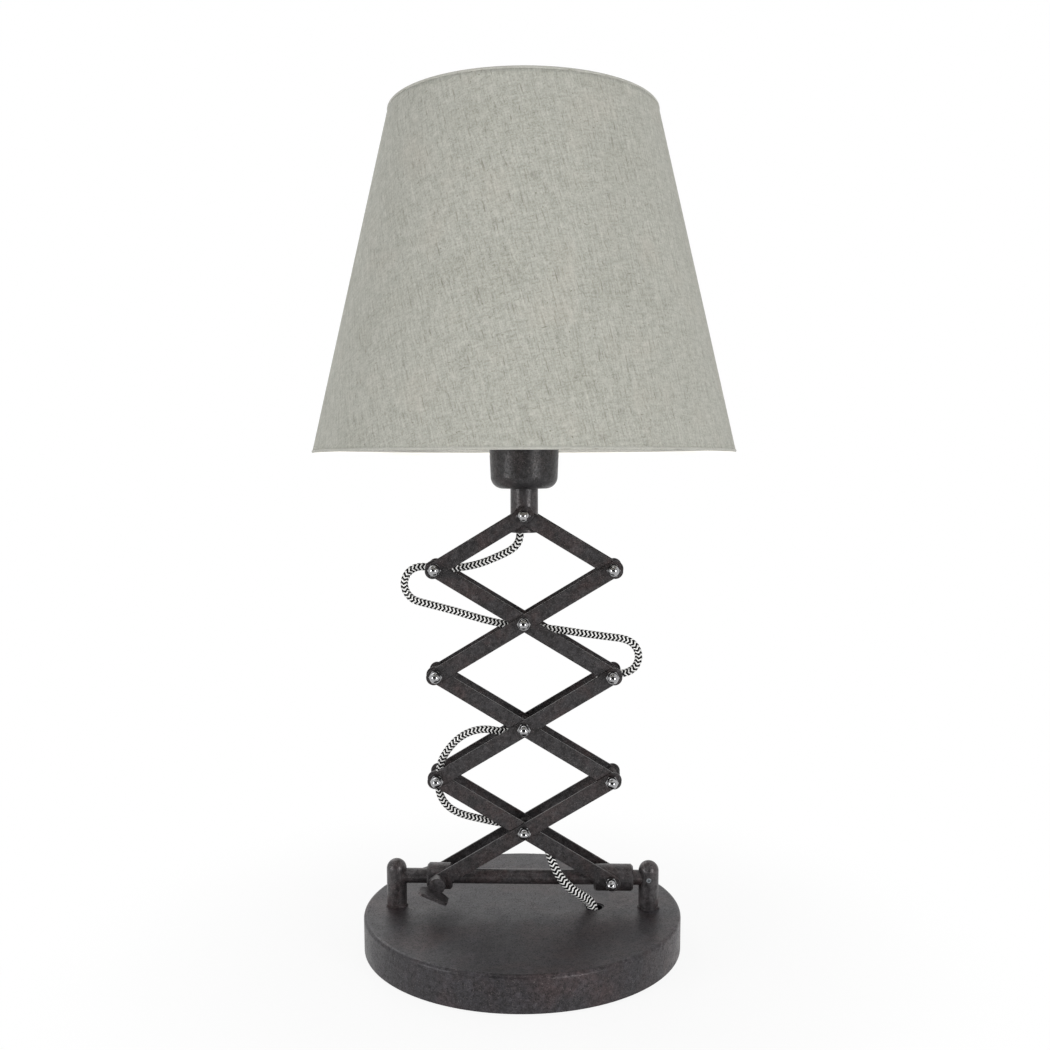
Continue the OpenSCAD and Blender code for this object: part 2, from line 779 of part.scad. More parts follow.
// Threaded tube that joins the stem, the cup and the lampholder
module nipple() {
    color(chrome_metal)
        translate([mast_x, 0, cup_z - nipple_grip])
            difference() {
                cylinder(h = nipple_grip + cup_wall + nipple_rise, d = nipple_dia);
                translate([0, 0, -cut])
                    cylinder(h = nipple_grip + cup_wall + nipple_rise + 2 * cut, d = nipple_bore);
            }
}

// Radius of the cup's tapered side at a height, drawn in by an inset
function cup_side(inset, height) =
    cup_low_dia / 2 - inset
        + (cup_rim_dia - cup_low_dia) / 2 * (height - cup_corner) / (cup_height - cup_corner);

// Half outline of the cup, drawn in by an inset for its inside
module cup_outline(inset, top) {
    flat = cup_low_dia / 2 - cup_corner;
    translate([0, inset])
        square([flat, top - inset]);
    translate([flat, cup_corner])
        circle(r = cup_corner - inset);
    polygon([[0, cup_corner], [cup_side(inset, cup_corner), cup_corner], [cup_side(inset, top), top], [0, top]]);
}

module holder_cup() {
    color(antique_metal)
        translate([mast_x, 0, cup_z])
            difference() {
                rotate_extrude()
                    difference() {
                        cup_outline(0, cup_height);
                        cup_outline(cup_wall, cup_height + cut);
                    }
                translate([0, 0, -cut])
                    cylinder(h = cup_wall + 2 * cut, r = nipple_dia / 2 + thread_clearance);
            }
}

// Lampholder: its body fills the cup, its shoulder rests on the rim and its skirt stands above
module lampholder_body() {
    color(black_plastic)
        translate([mast_x, 0, cup_z])
            difference() {
                union() {
                    rotate_extrude()
                        cup_outline(cup_wall + holder_gap, cup_height);
                    translate([0, 0, cup_height])
                        cylinder(h = shoulder_height, d = cup_rim_dia);
                    translate([0, 0, cup_height])
                        cylinder(h = shoulder_height + skirt_height, d = skirt_dia);
                }
                translate([0, 0, -cut])
                    cylinder(h = cup_wall + nipple_rise + blind_run + cut, r = nipple_dia / 2 + thread_clearance);
                translate([0, 0, shell_bottom - contact_height - cup_z])
                    cylinder(h = cup_height + skirt_height, r = socket_bore / 2 + shell_wall + thread_clearance);
            }
}

module screw_shell() {
    color(brass_metal)
        translate([mast_x, 0, shell_bottom])
            difference() {
                cylinder(h = socket_depth, r = socket_bore / 2 + shell_wall);
                translate([0, 0, -cut])
                    cylinder(h = socket_depth + 2 * cut, d = socket_bore);
            }
}

// Contact in the socket's floor, just below the screw shell
module centre_contact() {
    color(brass_metal)
        translate([mast_x, 0, shell_bottom - contact_height])
            cylinder(h = contact_height, d = contact_dia);
}

// Welded wire frame: a flat fitting ring, three spokes and the lower wire ring
module shade_frame() {
    ring_radius = wire_ring_radius(low_wire_height);
    spoke_start = fitting_dia / 2 - shade_wire_dia / 2;
    spoke_z = shoulder_z + fitting_thickness - shade_wire_dia / 2 - spoke_sink;
    drop = spoke_z - (shade_z + low_wire_height);
    run = ring_radius - spoke_start;
    color(white_coat)
        translate([mast_x, 0, 0]) {
            translate([0, 0, shoulder_z])
                difference() {
                    cylinder(h = fitting_thickness, d = fitting_dia);
                    translate([0, 0, -cut])
                        cylinder(h = fitting_thickness + 2 * cut, r = skirt_dia / 2 + fitting_clearance);
                }
            translate([0, 0, shade_z + low_wire_height])
                rotate_extrude($fn = 128)
                    translate([ring_radius, 0])
                        circle(d = shade_wire_dia, $fn = 32);
            for (index = [0 : spoke_count - 1])
                rotate([0, 0, 90 + index * 360 / spoke_count])
                    translate([spoke_start, 0, spoke_z])
                        rotate([0, 90 + atan(drop / run), 0])
                            cylinder(h = sqrt(run * run + drop * drop) - spoke_short, d = shade_wire_dia, $fn = 32);
        }
}

// Fluted ring screwed down on the skirt, clamping the frame
module shade_clamp_ring() {
    z = shoulder_z + fitting_thickness;
    color(black_plastic)
        translate([mast_x, 0, z])
            difference() {
                cylinder(h = clamp_ring_height, d = clamp_ring_dia);
                translate([0, 0, -cut])
                    cylinder(h = clamp_ring_height + 2 * cut, r = skirt_dia / 2 + ring_clearance);
                for (index = [0 : grip_count - 1])
                    rotate([0, 0, index * 360 / grip_count])
                        translate([clamp_ring_dia / 2 + grip_shift, 0, clamp_ring_height / 4])
                            cylinder(h = clamp_ring_height, r = grip_radius, $fn = 16);
            }
}

module shade_top_ring() {
    color(white_coat)
        translate([mast_x, 0, shade_z + top_wire_height])
            rotate_extrude($fn = 128)
                translate([wire_ring_radius(top_wire_height), 0])
                    circle(d = shade_wire_dia, $fn = 32);
}

// Conical linen wall with a rolled edge at each end
module shade_cover() {
    low = shade_bottom_dia / 2;
    high = shade_top_dia / 2;
    across = shade_wall / cos(shade_slope);
    color(linen)
        translate([mast_x, 0, shade_z])
            rotate_extrude($fn = 128) {
                polygon([[low - across, 0], [low, 0], [high, shade_height], [high - across, shade_height]]);
                translate([low - across / 2, 0])
                    circle(r = shade_hem_radius, $fn = 24);
                translate([high - across / 2, shade_height])
                    circle(r = shade_hem_radius, $fn = 24);
            }
}

function unit(vector) = vector / norm(vector);

// Direction of the flex's route at one of its points
function heading(index) =
    unit(flex_route[min(index + 1, len(flex_route) - 1)] - flex_route[max(index - 1, 0)]);

// A point of the flex's route, drawn in by half the joint's gap where a stretch meets another
function flex_point(index, first, last) =
    flex_route[index]
        + (index == first && first > 0 ? flex_gap / 2 : 0) * heading(index)
        - (index == last && last < len(flex_route) - 1 ? flex_gap / 2 : 0) * heading(index);

// Corners of the flex's outline round a point of its route
function flex_ring(centre, along) =
    let (
        across = unit(cross(along, [0, 1, 0])),
        up = cross(across, along)
    )
    [for (side = [0 : flex_sides - 1])
        centre + flex_dia / 2 * (cos(side * 360 / flex_sides) * across + sin(side * 360 / flex_sides) * up)];

// One of the flex's four stretches: a closed tube with a ring at each point of its route
module flex_stretch(stretch) {
    first = flex_ends[stretch];
    last = flex_ends[stretch + 1];
    rings = [for (index = [first : last]) each flex_ring(flex_point(index, first, last), heading(index))];
    ring_count = last - first + 1;
    end_ring = (ring_count - 1) * flex_sides;
    color(braid)
        polyhedron(
            rings,
            concat(
                [[for (side = [flex_sides - 1 : -1 : 0]) side]],
                [for (index = [0 : ring_count - 2], side = [0 : flex_sides - 1])
                    let (
                        near = index * flex_sides + side,
                        next = index * flex_sides + (side + 1) % flex_sides
                    )
                    each [[near, next, near + flex_sides], [next, next + flex_sides, near + flex_sides]]],
                [[for (side = [0 : flex_sides - 1]) end_ring + side]]
            )
        );
}

base_cover();
base_weight();
base_felt();
mains_bush();
deck_bush();
post_left();
post_right();
post_screws();
rod_set_screws();
guide_rod();
fixed_collar();
fixed_pivot_stud();
fixed_pivot_nuts();
sliding_collar();
slider_spacers();
slider_rear_screw();
wing_screw();
falling_arm(1, -1);  // falling_arm_1_front
falling_arm(1, 1);  // falling_arm_1_rear
rising_arm(1, -1);  // rising_arm_1_front
rising_arm(1, 1);  // rising_arm_1_rear
falling_arm(2, -1);  // falling_arm_2_front
falling_arm(2, 1);  // falling_arm_2_rear
rising_arm(2, -1);  // rising_arm_2_front
rising_arm(2, 1);  // rising_arm_2_rear
falling_arm(3, -1);  // falling_arm_3_front
falling_arm(3, 1);  // falling_arm_3_rear
rising_arm(3, -1);  // rising_arm_3_front
rising_arm(3, 1);  // rising_arm_3_rear
rising_top_arm(-1);  // rising_top_arm_front
rising_top_arm(1);  // rising_top_arm_rear
falling_top_arm(-1);  // falling_top_arm_front
falling_top_arm(1);  // falling_top_arm_rear
bolts_at(stage_1_pivots);  // arm_bolts_1
nuts_at(stage_1_pivots, outer_face);  // arm_nuts_1
bolts_at(stage_2_pivots);  // arm_bolts_2
nuts_at(stage_2_pivots, outer_face);  // arm_nuts_2
bolts_at(stage_3_pivots);  // arm_bolts_3
nuts_at(stage_3_pivots, outer_face);  // arm_nuts_3
bolts_at(top_pivots);  // top_bolts
nuts_at(top_pivots, outer_face);  // top_nuts
stem();
stem_bush();
stem_pivot_stud();
stem_pivot_nuts();
nipple();
holder_cup();
lampholder_body();
screw_shell();
centre_contact();
shade_frame();
shade_clamp_ring();
shade_top_ring();
shade_cover();
flex_stretch(0);  // flex_top
flex_stretch(1);  // flex_upper
flex_stretch(2);  // flex_middle
flex_stretch(3);  // flex_lower
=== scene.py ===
# %% [markdown]
# # Accordion desk lamp
#
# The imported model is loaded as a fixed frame: every rigid part of the lamp is already in
# its place and rides on its body. This script gives the metal its antique coat, makes the
# soft parts (the braided flex and the linen shade) and the threads of the lampholder,
# and sets up a plain studio with a camera where the photographer stood.

# %% Load the frame
import math
import bpy
import numpy as np
from mathutils import Matrix, Vector


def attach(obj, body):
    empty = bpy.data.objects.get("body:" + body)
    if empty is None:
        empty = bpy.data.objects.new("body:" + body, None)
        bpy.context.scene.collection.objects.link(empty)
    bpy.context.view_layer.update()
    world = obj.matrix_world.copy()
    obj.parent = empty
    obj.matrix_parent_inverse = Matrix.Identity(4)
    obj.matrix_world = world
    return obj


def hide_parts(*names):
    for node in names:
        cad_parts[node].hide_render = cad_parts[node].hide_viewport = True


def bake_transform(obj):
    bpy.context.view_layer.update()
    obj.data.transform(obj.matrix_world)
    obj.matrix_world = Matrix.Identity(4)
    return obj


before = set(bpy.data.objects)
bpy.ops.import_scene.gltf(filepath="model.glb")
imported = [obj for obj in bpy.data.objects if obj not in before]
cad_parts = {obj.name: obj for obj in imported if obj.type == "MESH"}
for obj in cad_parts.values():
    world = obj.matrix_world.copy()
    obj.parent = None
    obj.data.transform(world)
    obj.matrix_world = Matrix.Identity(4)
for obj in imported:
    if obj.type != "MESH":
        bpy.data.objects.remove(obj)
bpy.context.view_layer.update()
MM = 0.001
MAST_X = 1.678 * MM                     # the stem and the shade stand on this line

# %% [markdown]
# ## Camera
#
# The photograph was taken from a little above the top of the linkage, a bit to the right
# of the lamp and 65 cm in front of it. The rim of the base, the nuts and the edges of the
# shade fixed the position, the turn and the focal length together. The camera looks down by
# seven degrees, and its picture is shifted up, as a crop from a taller picture would be.

# %% Camera
FOCAL_LENGTH = 38.55                    # mm, with a sensor 36 mm wide
SHIFT_UP = 0.0748                       # as a share of the sensor's width
CAMERA_PLACE = (21.986, -653.729, 285.318)
YAW, PITCH, ROLL = -0.0305538, 0.120181, 0.0022172

camera_data = bpy.data.cameras.new("camera")
camera_data.sensor_fit = "HORIZONTAL"
camera_data.sensor_width = 36.0
camera_data.lens = FOCAL_LENGTH
camera_data.shift_y = SHIFT_UP
camera_data.clip_start = 0.02
camera = bpy.data.objects.new("camera", camera_data)
bpy.context.scene.collection.objects.link(camera)

forward = Vector((math.sin(YAW) * math.cos(PITCH), math.cos(YAW) * math.cos(PITCH), -math.sin(PITCH)))
right = Vector((math.cos(YAW), -math.sin(YAW), 0.0))
down = forward.cross(right)
right, down = (
    math.cos(ROLL) * right + math.sin(ROLL) * down,
    math.cos(ROLL) * down - math.sin(ROLL) * right,
)
axes = Matrix((right, -down, -forward)).transposed().to_4x4()
camera.matrix_world = Matrix.Translation(Vector(CAMERA_PLACE) * MM) @ axes
bpy.context.scene.camera = camera
print("camera at", [round(c, 3) for c in camera.matrix_world.translation])

# %% [markdown]
# ## The flex
#
# A round two-core flex, 4.4 mm thick, with a braid of black and white yarn. It leaves the
# stem through a bush, loops outside the linkage on the left and on the right, passes
# behind the bolts where it crosses the arms, comes down in front of the guide rod and goes
# into the base. It is limp, so no bend is tighter than two diameters.
#
# Its route is one smooth curve through listed points, in four stretches. Each
# stretch ends on the axis of a pivot, so it can turn with its own arm when the lamp is
# raised or lowered, and the next one still meets it.

# %% Routes of the flex
RING_STEP = 0.7 * MM                    # between the rings of its tubes
ROUTES = {
    "flex_top": [
        (-0.8, 0, 252), (-0.8, 0, 247.2), (-1.4, 0, 243.6), (-3.2, 0, 240.4), (-6, 0, 238),
        (-10.4, 0, 235.6), (-16.6, 0, 232.8), (-25.4, 0, 229.6), (-37, 0, 227.4), (-49.6, 0, 227),
    ],
    "flex_upper": [
        (-49.6, 0, 227), (-55, 0, 227.8), (-60.4, 0, 227.8), (-65.2, 0, 225.6), (-68.2, 0, 221.2),
        (-68.6, 0, 215.9), (-66.8, 0, 211.8), (-63.5, 0, 208.7), (-58.4, 0, 206.9), (-51, 0, 205),
        (-39, 0, 201.8), (-25.5, 0, 197.8), (-12, 0, 194.6), (1, 0, 192.9), (13, 0, 191.9),
        (24, 0, 190.6), (36, 0, 188.8), (48, 0, 187.2), (54.4, 0, 186.4), (60.2, 0, 185.4),
        (65.2, 0, 182.8), (68.2, 0, 178.2), (68.4, 0, 172.8), (65.8, 0, 168.1), (61.6, 0, 165.6),
        (57.2, 0, 164.8), (53, 0, 164.8),
    ],
    "flex_middle": [
        (53, 0, 164.8), (48, 0, 163), (43, 0, 159.4), (33, 0, 151.6), (22, 0, 143.8), (11, 0, 137),
        (2, 0, 132), (-5, 0, 129.8), (-12, 0, 129.8), (-20.5, 0, 131), (-29.5, 0, 129.8),
        (-37.6, 0, 125.4), (-44, 0, 118.6), (-48.2, 0, 111), (-49.6, 0, 102.7),
    ],
    "flex_lower": [
        (-49.6, 0, 102.7), (-50, 0, 95.4), (-48, 0, 88.6), (-43.2, 0, 82.8), (-36, 0, 79),
        (-26, 0, 76.4), (-12, 0, 73.6), (1.7, 0, 71.6), (10, -1.8, 67.4), (14.6, -4, 60.8),
        (17.6, -6.2, 53.4), (20.8, -7.4, 46.6), (25, -7.5, 40.4), (30, -6.4, 35), (35.4, -4, 30.6),
        (40, -1.6, 26.2), (42.8, -0.3, 20.6), (43.4, 0, 17), (43.4, 0, 14),
    ],
}


def smooth_line(points, step):
    """Points every step along a natural cubic spline, and the index of each given point."""
    points = np.array(points, float)
    chord = np.linalg.norm(np.diff(points, axis=0), axis=1)
    knots = np.concatenate([[0], np.cumsum(chord)])
    count = len(points)
    system, known = np.zeros((count, count)), np.zeros((count, 3))
    system[0, 0] = system[-1, -1] = 1
    for i in range(1, count - 1):
        system[i, i - 1:i + 2] = chord[i - 1], 2 * (chord[i - 1] + chord[i]), chord[i]
        known[i] = 6 * ((points[i + 1] - points[i]) / chord[i] - (points[i] - points[i - 1]) / chord[i - 1])
    bend = np.linalg.solve(system, known)
    line, index = [], []
    for i in range(count - 1):
        index.append(len(line))
        for part in np.linspace(0, 1, max(2, round(chord[i] / step)), endpoint=False):
            a, b = 1 - part, part
            line.append(
                a * points[i] + b * points[i + 1]
                + ((a ** 3 - a) * bend[i] + (b ** 3 - b) * bend[i + 1]) * chord[i] ** 2 / 6
            )
    index.append(len(line))
    line.append(points[-1])
    return np.array(line), index


whole = [ROUTES["flex_top"][0]] + [p for route in ROUTES.values() for p in route[1:]]
centres, given = smooth_line(np.array(whole) * MM, RING_STEP)
along = np.concatenate([[0], np.cumsum(np.linalg.norm(np.diff(centres, axis=0), axis=1))])
print("flex:", len(centres), "rings,", round(along[-1] / MM), "mm long")

# %% [markdown]
# The braid runs on from one stretch to the next, so the rings of all four share one frame
# that is carried along the curve without twisting. Each corner keeps where it is: the
# share of the way round, and the metres along the flex.

# %% Tubes of the flex
FLEX_SIDES = 28


def carried_frames(line):
    """A direction across the line at each of its points, turned no more than the line turns."""
    heads = np.gradient(line, axis=0)
    heads /= np.linalg.norm(heads, axis=1)[:, None]
    across = np.cross(heads[0], (0.0, 1.0, 0.0))
    result = []
    for head in heads:
        across = across - head * across.dot(head)
        across /= np.linalg.norm(across)
        result.append((across, np.cross(head, across)))
    return result


def tube(name, line, frames, lengths, radii, sides):
    """A closed round tube along a line, one radius a ring, with the UV map 'braid'."""
    mesh = bpy.data.meshes.new(name)
    turns = np.arange(sides) * 2 * math.pi / sides
    verts = [
        tuple(centre + radius * (math.cos(turn) * first + math.sin(turn) * second))
        for centre, (first, second), radius in zip(line, frames, radii) for turn in turns
    ]
    faces, places = [], []
    for ring in range(len(line) - 1):
        for side in range(sides):
            near, next_side = ring * sides + side, ring * sides + (side + 1) % sides
            faces.append((near, next_side, next_side + sides, near + sides))
            u0, u1 = side / sides, (side + 1) / sides
            v0, v1 = lengths[ring], lengths[ring + 1]
            places += [(u0, v0), (u1, v0), (u1, v1), (u0, v1)]
    last = (len(line) - 1) * sides
    faces.append(tuple(range(sides - 1, -1, -1)))
    faces.append(tuple(last + side for side in range(sides)))
    places += [(side / sides, lengths[0]) for side in range(sides - 1, -1, -1)]
    places += [(side / sides, lengths[-1]) for side in range(sides)]
    mesh.from_pydata(verts, [], faces)
    uv = mesh.uv_layers.new(name="braid")
    uv.data.foreach_set("uv", np.array(places, np.float32).ravel())
    mesh.polygons.foreach_set("use_smooth", [True] * len(mesh.polygons))
    mesh.update()
    piece = bpy.data.objects.new(name, mesh)
    bpy.context.scene.collection.objects.link(piece)
    return piece


frames = carried_frames(centres)
# Where the flex nears the base, its braid is pushed up and stands fuller. The numbers are
# the heights of those places above the table, going down, and the braid's diameter there.
FULLNESS = {70: 4.4, 58: 4.5, 48: 4.9, 40.4: 5.3, 35: 5.7, 30: 6.0, 22: 6.0, 18: 5.0, 15.6: 4.4}
heights = np.array(list(FULLNESS)[::-1]) * MM
radii = np.interp(centres[:, 2], heights, np.array(list(FULLNESS.values())[::-1]) * MM / 2)
flexes = {}
first = 0
for name, route in ROUTES.items():
    last = first + len(route) - 1
    part = slice(given[first], given[last] + 1)
    piece = tube(f"braided_{name}", centres[part], frames[part], along[part], radii[part], FLEX_SIDES)
    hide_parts(name)
    flexes[name] = piece
    first = last

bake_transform(flexes["flex_top"])
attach(flexes["flex_upper"], "falling_3")
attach(flexes["flex_middle"], "rising_2")
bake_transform(flexes["flex_lower"])

# %% [markdown]
# ## Node helpers
#
# Every material is a tree of nodes. These few lines add a node, join it and set its
# sockets in one call, so that each material below reads as a recipe.

# %% Node helpers


def add(tree, kind, inputs=(), **settings):
    """A node of a kind; inputs is a dict of socket (name or number) to a value or an output."""
    new = tree.nodes.new(kind)
    for key, value in settings.items():
        setattr(new, key, value)
    for key, value in dict(inputs).items():
        if isinstance(value, bpy.types.NodeSocket):
            tree.links.new(value, new.inputs[key])
        else:
            new.inputs[key].default_value = value
    return new


def calc(tree, operation, *values, clamp=False):
    """The result of a Math node."""
    new = add(tree, "ShaderNodeMath", dict(enumerate(values)), operation=operation)
    new.use_clamp = clamp
    return new.outputs[0]


def ramp(tree, value, low, high, to_low=0.0, to_high=1.0, kind="LINEAR"):
    """Value from low..high brought to to_low..to_high, clamped."""
    new = add(
        tree, "ShaderNodeMapRange",
        {"Value": value, "From Min": low, "From Max": high, "To Min": to_low, "To Max": to_high},
        interpolation_type=kind,
    )
    return new.outputs["Result"]


def mix(tree, factor, first_colour, second_colour, blend="MIX"):
    """Two colours mixed; a factor of 0 gives the first and 1 the second."""
    new = tree.nodes.new("ShaderNodeMix")
    new.data_type, new.blend_type = "RGBA", blend
    sockets = new.inputs[0], new.inputs[6], new.inputs[7]
    for socket, value in zip(sockets, (factor, first_colour, second_colour)):
        if isinstance(value, bpy.types.NodeSocket):
            tree.links.new(value, socket)
        else:
            socket.default_value = value
    return new.outputs[2]


def noise(tree, vector, scale, detail=2.0, roughness=0.5, distortion=0.0):
    """A value that wanders about 0.5 from place to place."""
    new = add(tree, "ShaderNodeTexNoise", {
        "Vector": vector, "Scale": scale, "Detail": detail, "Roughness": roughness, "Distortion": distortion,
    })
    return new.outputs["Fac"]


def stretched(tree, vector, x, y, z=1.0):
    """The vector with each of its parts times its own number."""
    return add(tree, "ShaderNodeVectorMath", {0: vector, 1: (x, y, z)}, operation="MULTIPLY").outputs[0]


def object_place(tree):
    return add(tree, "ShaderNodeTexCoord").outputs["Object"]


def map_place(tree, name):
    return add(tree, "ShaderNodeUVMap", uv_map=name).outputs["UV"]


def two_tone(tree, shader, pattern, low, high, first_colour, second_colour):
    """A base colour that goes from the first to the second as the pattern rises from low to high."""
    colour = mix(tree, ramp(tree, pattern, low, high), first_colour, second_colour)
    tree.links.new(colour, shader.inputs["Base Color"])


def emboss(tree, shader, height, strength, depth):
    """Relief on a shader; depth is in metres."""
    bump = add(tree, "ShaderNodeBump", {"Height": height, "Strength": strength, "Distance": depth})
    tree.links.new(bump.outputs["Normal"], shader.inputs["Normal"])


def shader_group(name, inputs, outputs):
    """An empty node group; inputs and outputs are lists of (name, type, default)."""
    tree = bpy.data.node_groups.new(name, "ShaderNodeTree")
    for label, kind, *default in inputs:
        socket = tree.interface.new_socket(label, in_out="INPUT", socket_type=f"NodeSocket{kind}")
        if default:
            socket.default_value = default[0]
    for label, kind in outputs:
        tree.interface.new_socket(label, in_out="OUTPUT", socket_type=f"NodeSocket{kind}")
    return tree, tree.nodes.new("NodeGroupInput"), tree.nodes.new("NodeGroupOutput")


def material(name, **fixed):
    """A material with a Principled shader; returns the material, its tree and the shader."""
    new = bpy.data.materials.new(name)
    new.use_nodes = True
    tree = new.node_tree
    shader = tree.nodes["Principled BSDF"]
    for label, value in fixed.items():
        shader.inputs[label.replace("_", " ")].default_value = value
    return new, tree, shader


def srgb(red, green, blue):
    """A colour read off a screen, 0 to 255, as Blender's linear colour."""
    def one(value):
        value /= 255
        return value / 12.92 if value <= 0.04045 else ((value + 0.055) / 1.055) ** 2.4
    return (one(red), one(green), one(blue), 1.0)


# %% [markdown]
# ## Antique coat
#
# The steel is coated in a dark grey lacquer over a rust-red primer and rubbed back by
# hand. Up close it is mottled: brown patches as wide as a thumb, fine dark pits, and a
# dusty grey bloom. One group makes the colour, the gloss and the relief. The arms, the
# turned pieces, the cup, the base and the cast weight use it with their own numbers: the
# turned pieces are lighter, and the cup is the darkest.

# %% Antique coat
tree, given_in, out = shader_group(
    "Antique coat",
    [
        ("Vector", "Vector"),
        ("Coat", "Color", srgb(60, 58, 60)),
        ("Primer", "Color", srgb(76, 61, 60)),
        ("Bloom", "Color", srgb(84, 82, 84)),
        ("Patch scale", "Float", 70.0),
        ("Roughness", "Float", 0.34),
    ],
    [("Color", "Color"), ("Roughness", "Float"), ("Height", "Float")],
)
where = given_in.outputs["Vector"]
patches = noise(tree, where, given_in.outputs["Patch scale"], 6.0, 0.62, 0.4)
cloud = noise(tree, where, calc(tree, "MULTIPLY", given_in.outputs["Patch scale"], 3.7), 5.0, 0.6)
mottle = noise(tree, where, 380.0, 4.0, 0.68)
pits = noise(tree, where, 1000.0, 3.0, 0.65)
speck = noise(tree, where, 1900.0, 2.0, 0.5)
red = ramp(tree, patches, 0.46, 0.68, 0.0, 0.75)
grey = ramp(tree, cloud, 0.5, 0.72, 0.0, 0.6)
pit = ramp(tree, pits, 0.37, 0.48, 0.7, 0.0)
colour = mix(tree, red, given_in.outputs["Coat"], given_in.outputs["Primer"])
colour = mix(tree, grey, colour, given_in.outputs["Bloom"])
colour = mix(tree, pit, colour, srgb(30, 27, 27))
colour = mix(tree, ramp(tree, mottle, 0.34, 0.66), colour, srgb(100, 98, 97), "SOFT_LIGHT")
colour = mix(tree, ramp(tree, speck, 0.6, 0.7, 0.0, 0.45), colour, srgb(118, 112, 110))
tree.links.new(colour, out.inputs["Color"])
gloss = calc(tree, "ADD", given_in.outputs["Roughness"], ramp(tree, cloud, 0.3, 0.7, -0.06, 0.1))
gloss = calc(tree, "ADD", gloss, calc(tree, "MULTIPLY", pit, 0.3))
tree.links.new(gloss, out.inputs["Roughness"])
relief = calc(tree, "SUBTRACT", calc(tree, "MULTIPLY", cloud, 0.5), calc(tree, "MULTIPLY", pit, 0.8))
tree.links.new(calc(tree, "ADD", relief, calc(tree, "MULTIPLY", speck, 0.25)), out.inputs["Height"])
antique_coat = tree


def coated(name, strength, depth, inputs=(), **fixed):
    """A material with the antique coat in object coordinates."""
    new, tree, shader = material(name, **fixed)
    values = {"Vector": object_place(tree), **dict(inputs)}
    group = add(tree, "ShaderNodeGroup", values, node_tree=antique_coat)
    tree.links.new(group.outputs["Color"], shader.inputs["Base Color"])
    tree.links.new(group.outputs["Roughness"], shader.inputs["Roughness"])
    emboss(tree, shader, group.outputs["Height"], strength, depth)
    return new


antique = coated(
    "antique_metal", 0.4, 0.0002,
    Metallic=0.3, Coat_Weight=0.06, Coat_Roughness=0.25, Specular_IOR_Level=0.42,
)
base_coat = coated(
    "antique_base", 0.25, 0.0002,
    {
        "Coat": srgb(58, 56, 60), "Primer": srgb(77, 63, 64), "Bloom": srgb(82, 79, 85),
        "Patch scale": 30.0, "Roughness": 0.4,
    },
    Metallic=0.3, Coat_Weight=0.04, Coat_Roughness=0.3, Specular_IOR_Level=0.36,
)
turned_coat = coated(
    "antique_turned", 0.3, 0.0002,
    {"Coat": srgb(69, 66, 68), "Primer": srgb(86, 70, 69), "Bloom": srgb(96, 92, 94), "Roughness": 0.34},
    Metallic=0.3, Coat_Weight=0.08, Coat_Roughness=0.25, Specular_IOR_Level=0.5,
)
cup_coat = coated(
    "antique_cup", 0.3, 0.0002,
    {"Coat": srgb(52, 51, 53), "Primer": srgb(64, 55, 55), "Bloom": srgb(72, 70, 72), "Roughness": 0.36},
    Metallic=0.3, Coat_Weight=0.05, Coat_Roughness=0.25, Specular_IOR_Level=0.36,
)
cast = coated(
    "cast_weight", 0.8, 0.0006,
    {"Coat": srgb(44, 44, 46), "Primer": srgb(60, 52, 48), "Bloom": srgb(70, 70, 72), "Roughness": 0.7},
    Metallic=0.4,
)

# %% [markdown]
# ## Small hardware
#
# The acorn nuts are plated in chrome: they mirror the studio, with only hairline swirls
# from polishing, so each dome shows the softboxes as bright spots. The screws in the posts
# and the nipple are zinc-plated, and the socket's shell and contact are brass. The
# lampholder and the bushes are matt black mouldings, the shade's wires have a white coat,
# and the base stands on black felt. The threads of the shell and the holder are relief.

# %% Chrome, zinc, brass, plastic and felt
chrome, tree, shader = material("chrome", Metallic=1.0)
swirl = noise(tree, stretched(tree, object_place(tree), 1.0, 6.0, 1.0), 900.0, 4.0, 0.6)
two_tone(tree, shader, swirl, 0.4, 0.7, srgb(170, 170, 171), srgb(140, 140, 142))
tree.links.new(ramp(tree, swirl, 0.35, 0.7, 0.06, 0.16), shader.inputs["Roughness"])

zinc, tree, shader = material("plated_steel", Metallic=1.0)
cells = add(tree, "ShaderNodeTexVoronoi", {"Vector": object_place(tree), "Scale": 700.0})
spangle = cells.outputs["Distance"]
two_tone(tree, shader, spangle, 0.1, 0.7, srgb(178, 182, 186), srgb(150, 154, 158))
tree.links.new(ramp(tree, spangle, 0.0, 0.8, 0.28, 0.42), shader.inputs["Roughness"])

brass, tree, shader = material("brass", Metallic=1.0)
drawn = noise(tree, stretched(tree, object_place(tree), 1.0, 1.0, 9.0), 420.0, 4.0, 0.6)
two_tone(tree, shader, drawn, 0.4, 0.7, srgb(214, 178, 104), srgb(184, 146, 78))
tree.links.new(ramp(tree, drawn, 0.3, 0.7, 0.2, 0.36), shader.inputs["Roughness"])

plastic, tree, shader = material("black_plastic")
grain = noise(tree, object_place(tree), 1800.0, 3.0, 0.6)
two_tone(tree, shader, grain, 0.35, 0.7, srgb(22, 22, 23), srgb(33, 33, 34))
tree.links.new(ramp(tree, grain, 0.3, 0.7, 0.38, 0.55), shader.inputs["Roughness"])
emboss(tree, shader, grain, 0.25, 0.0001)


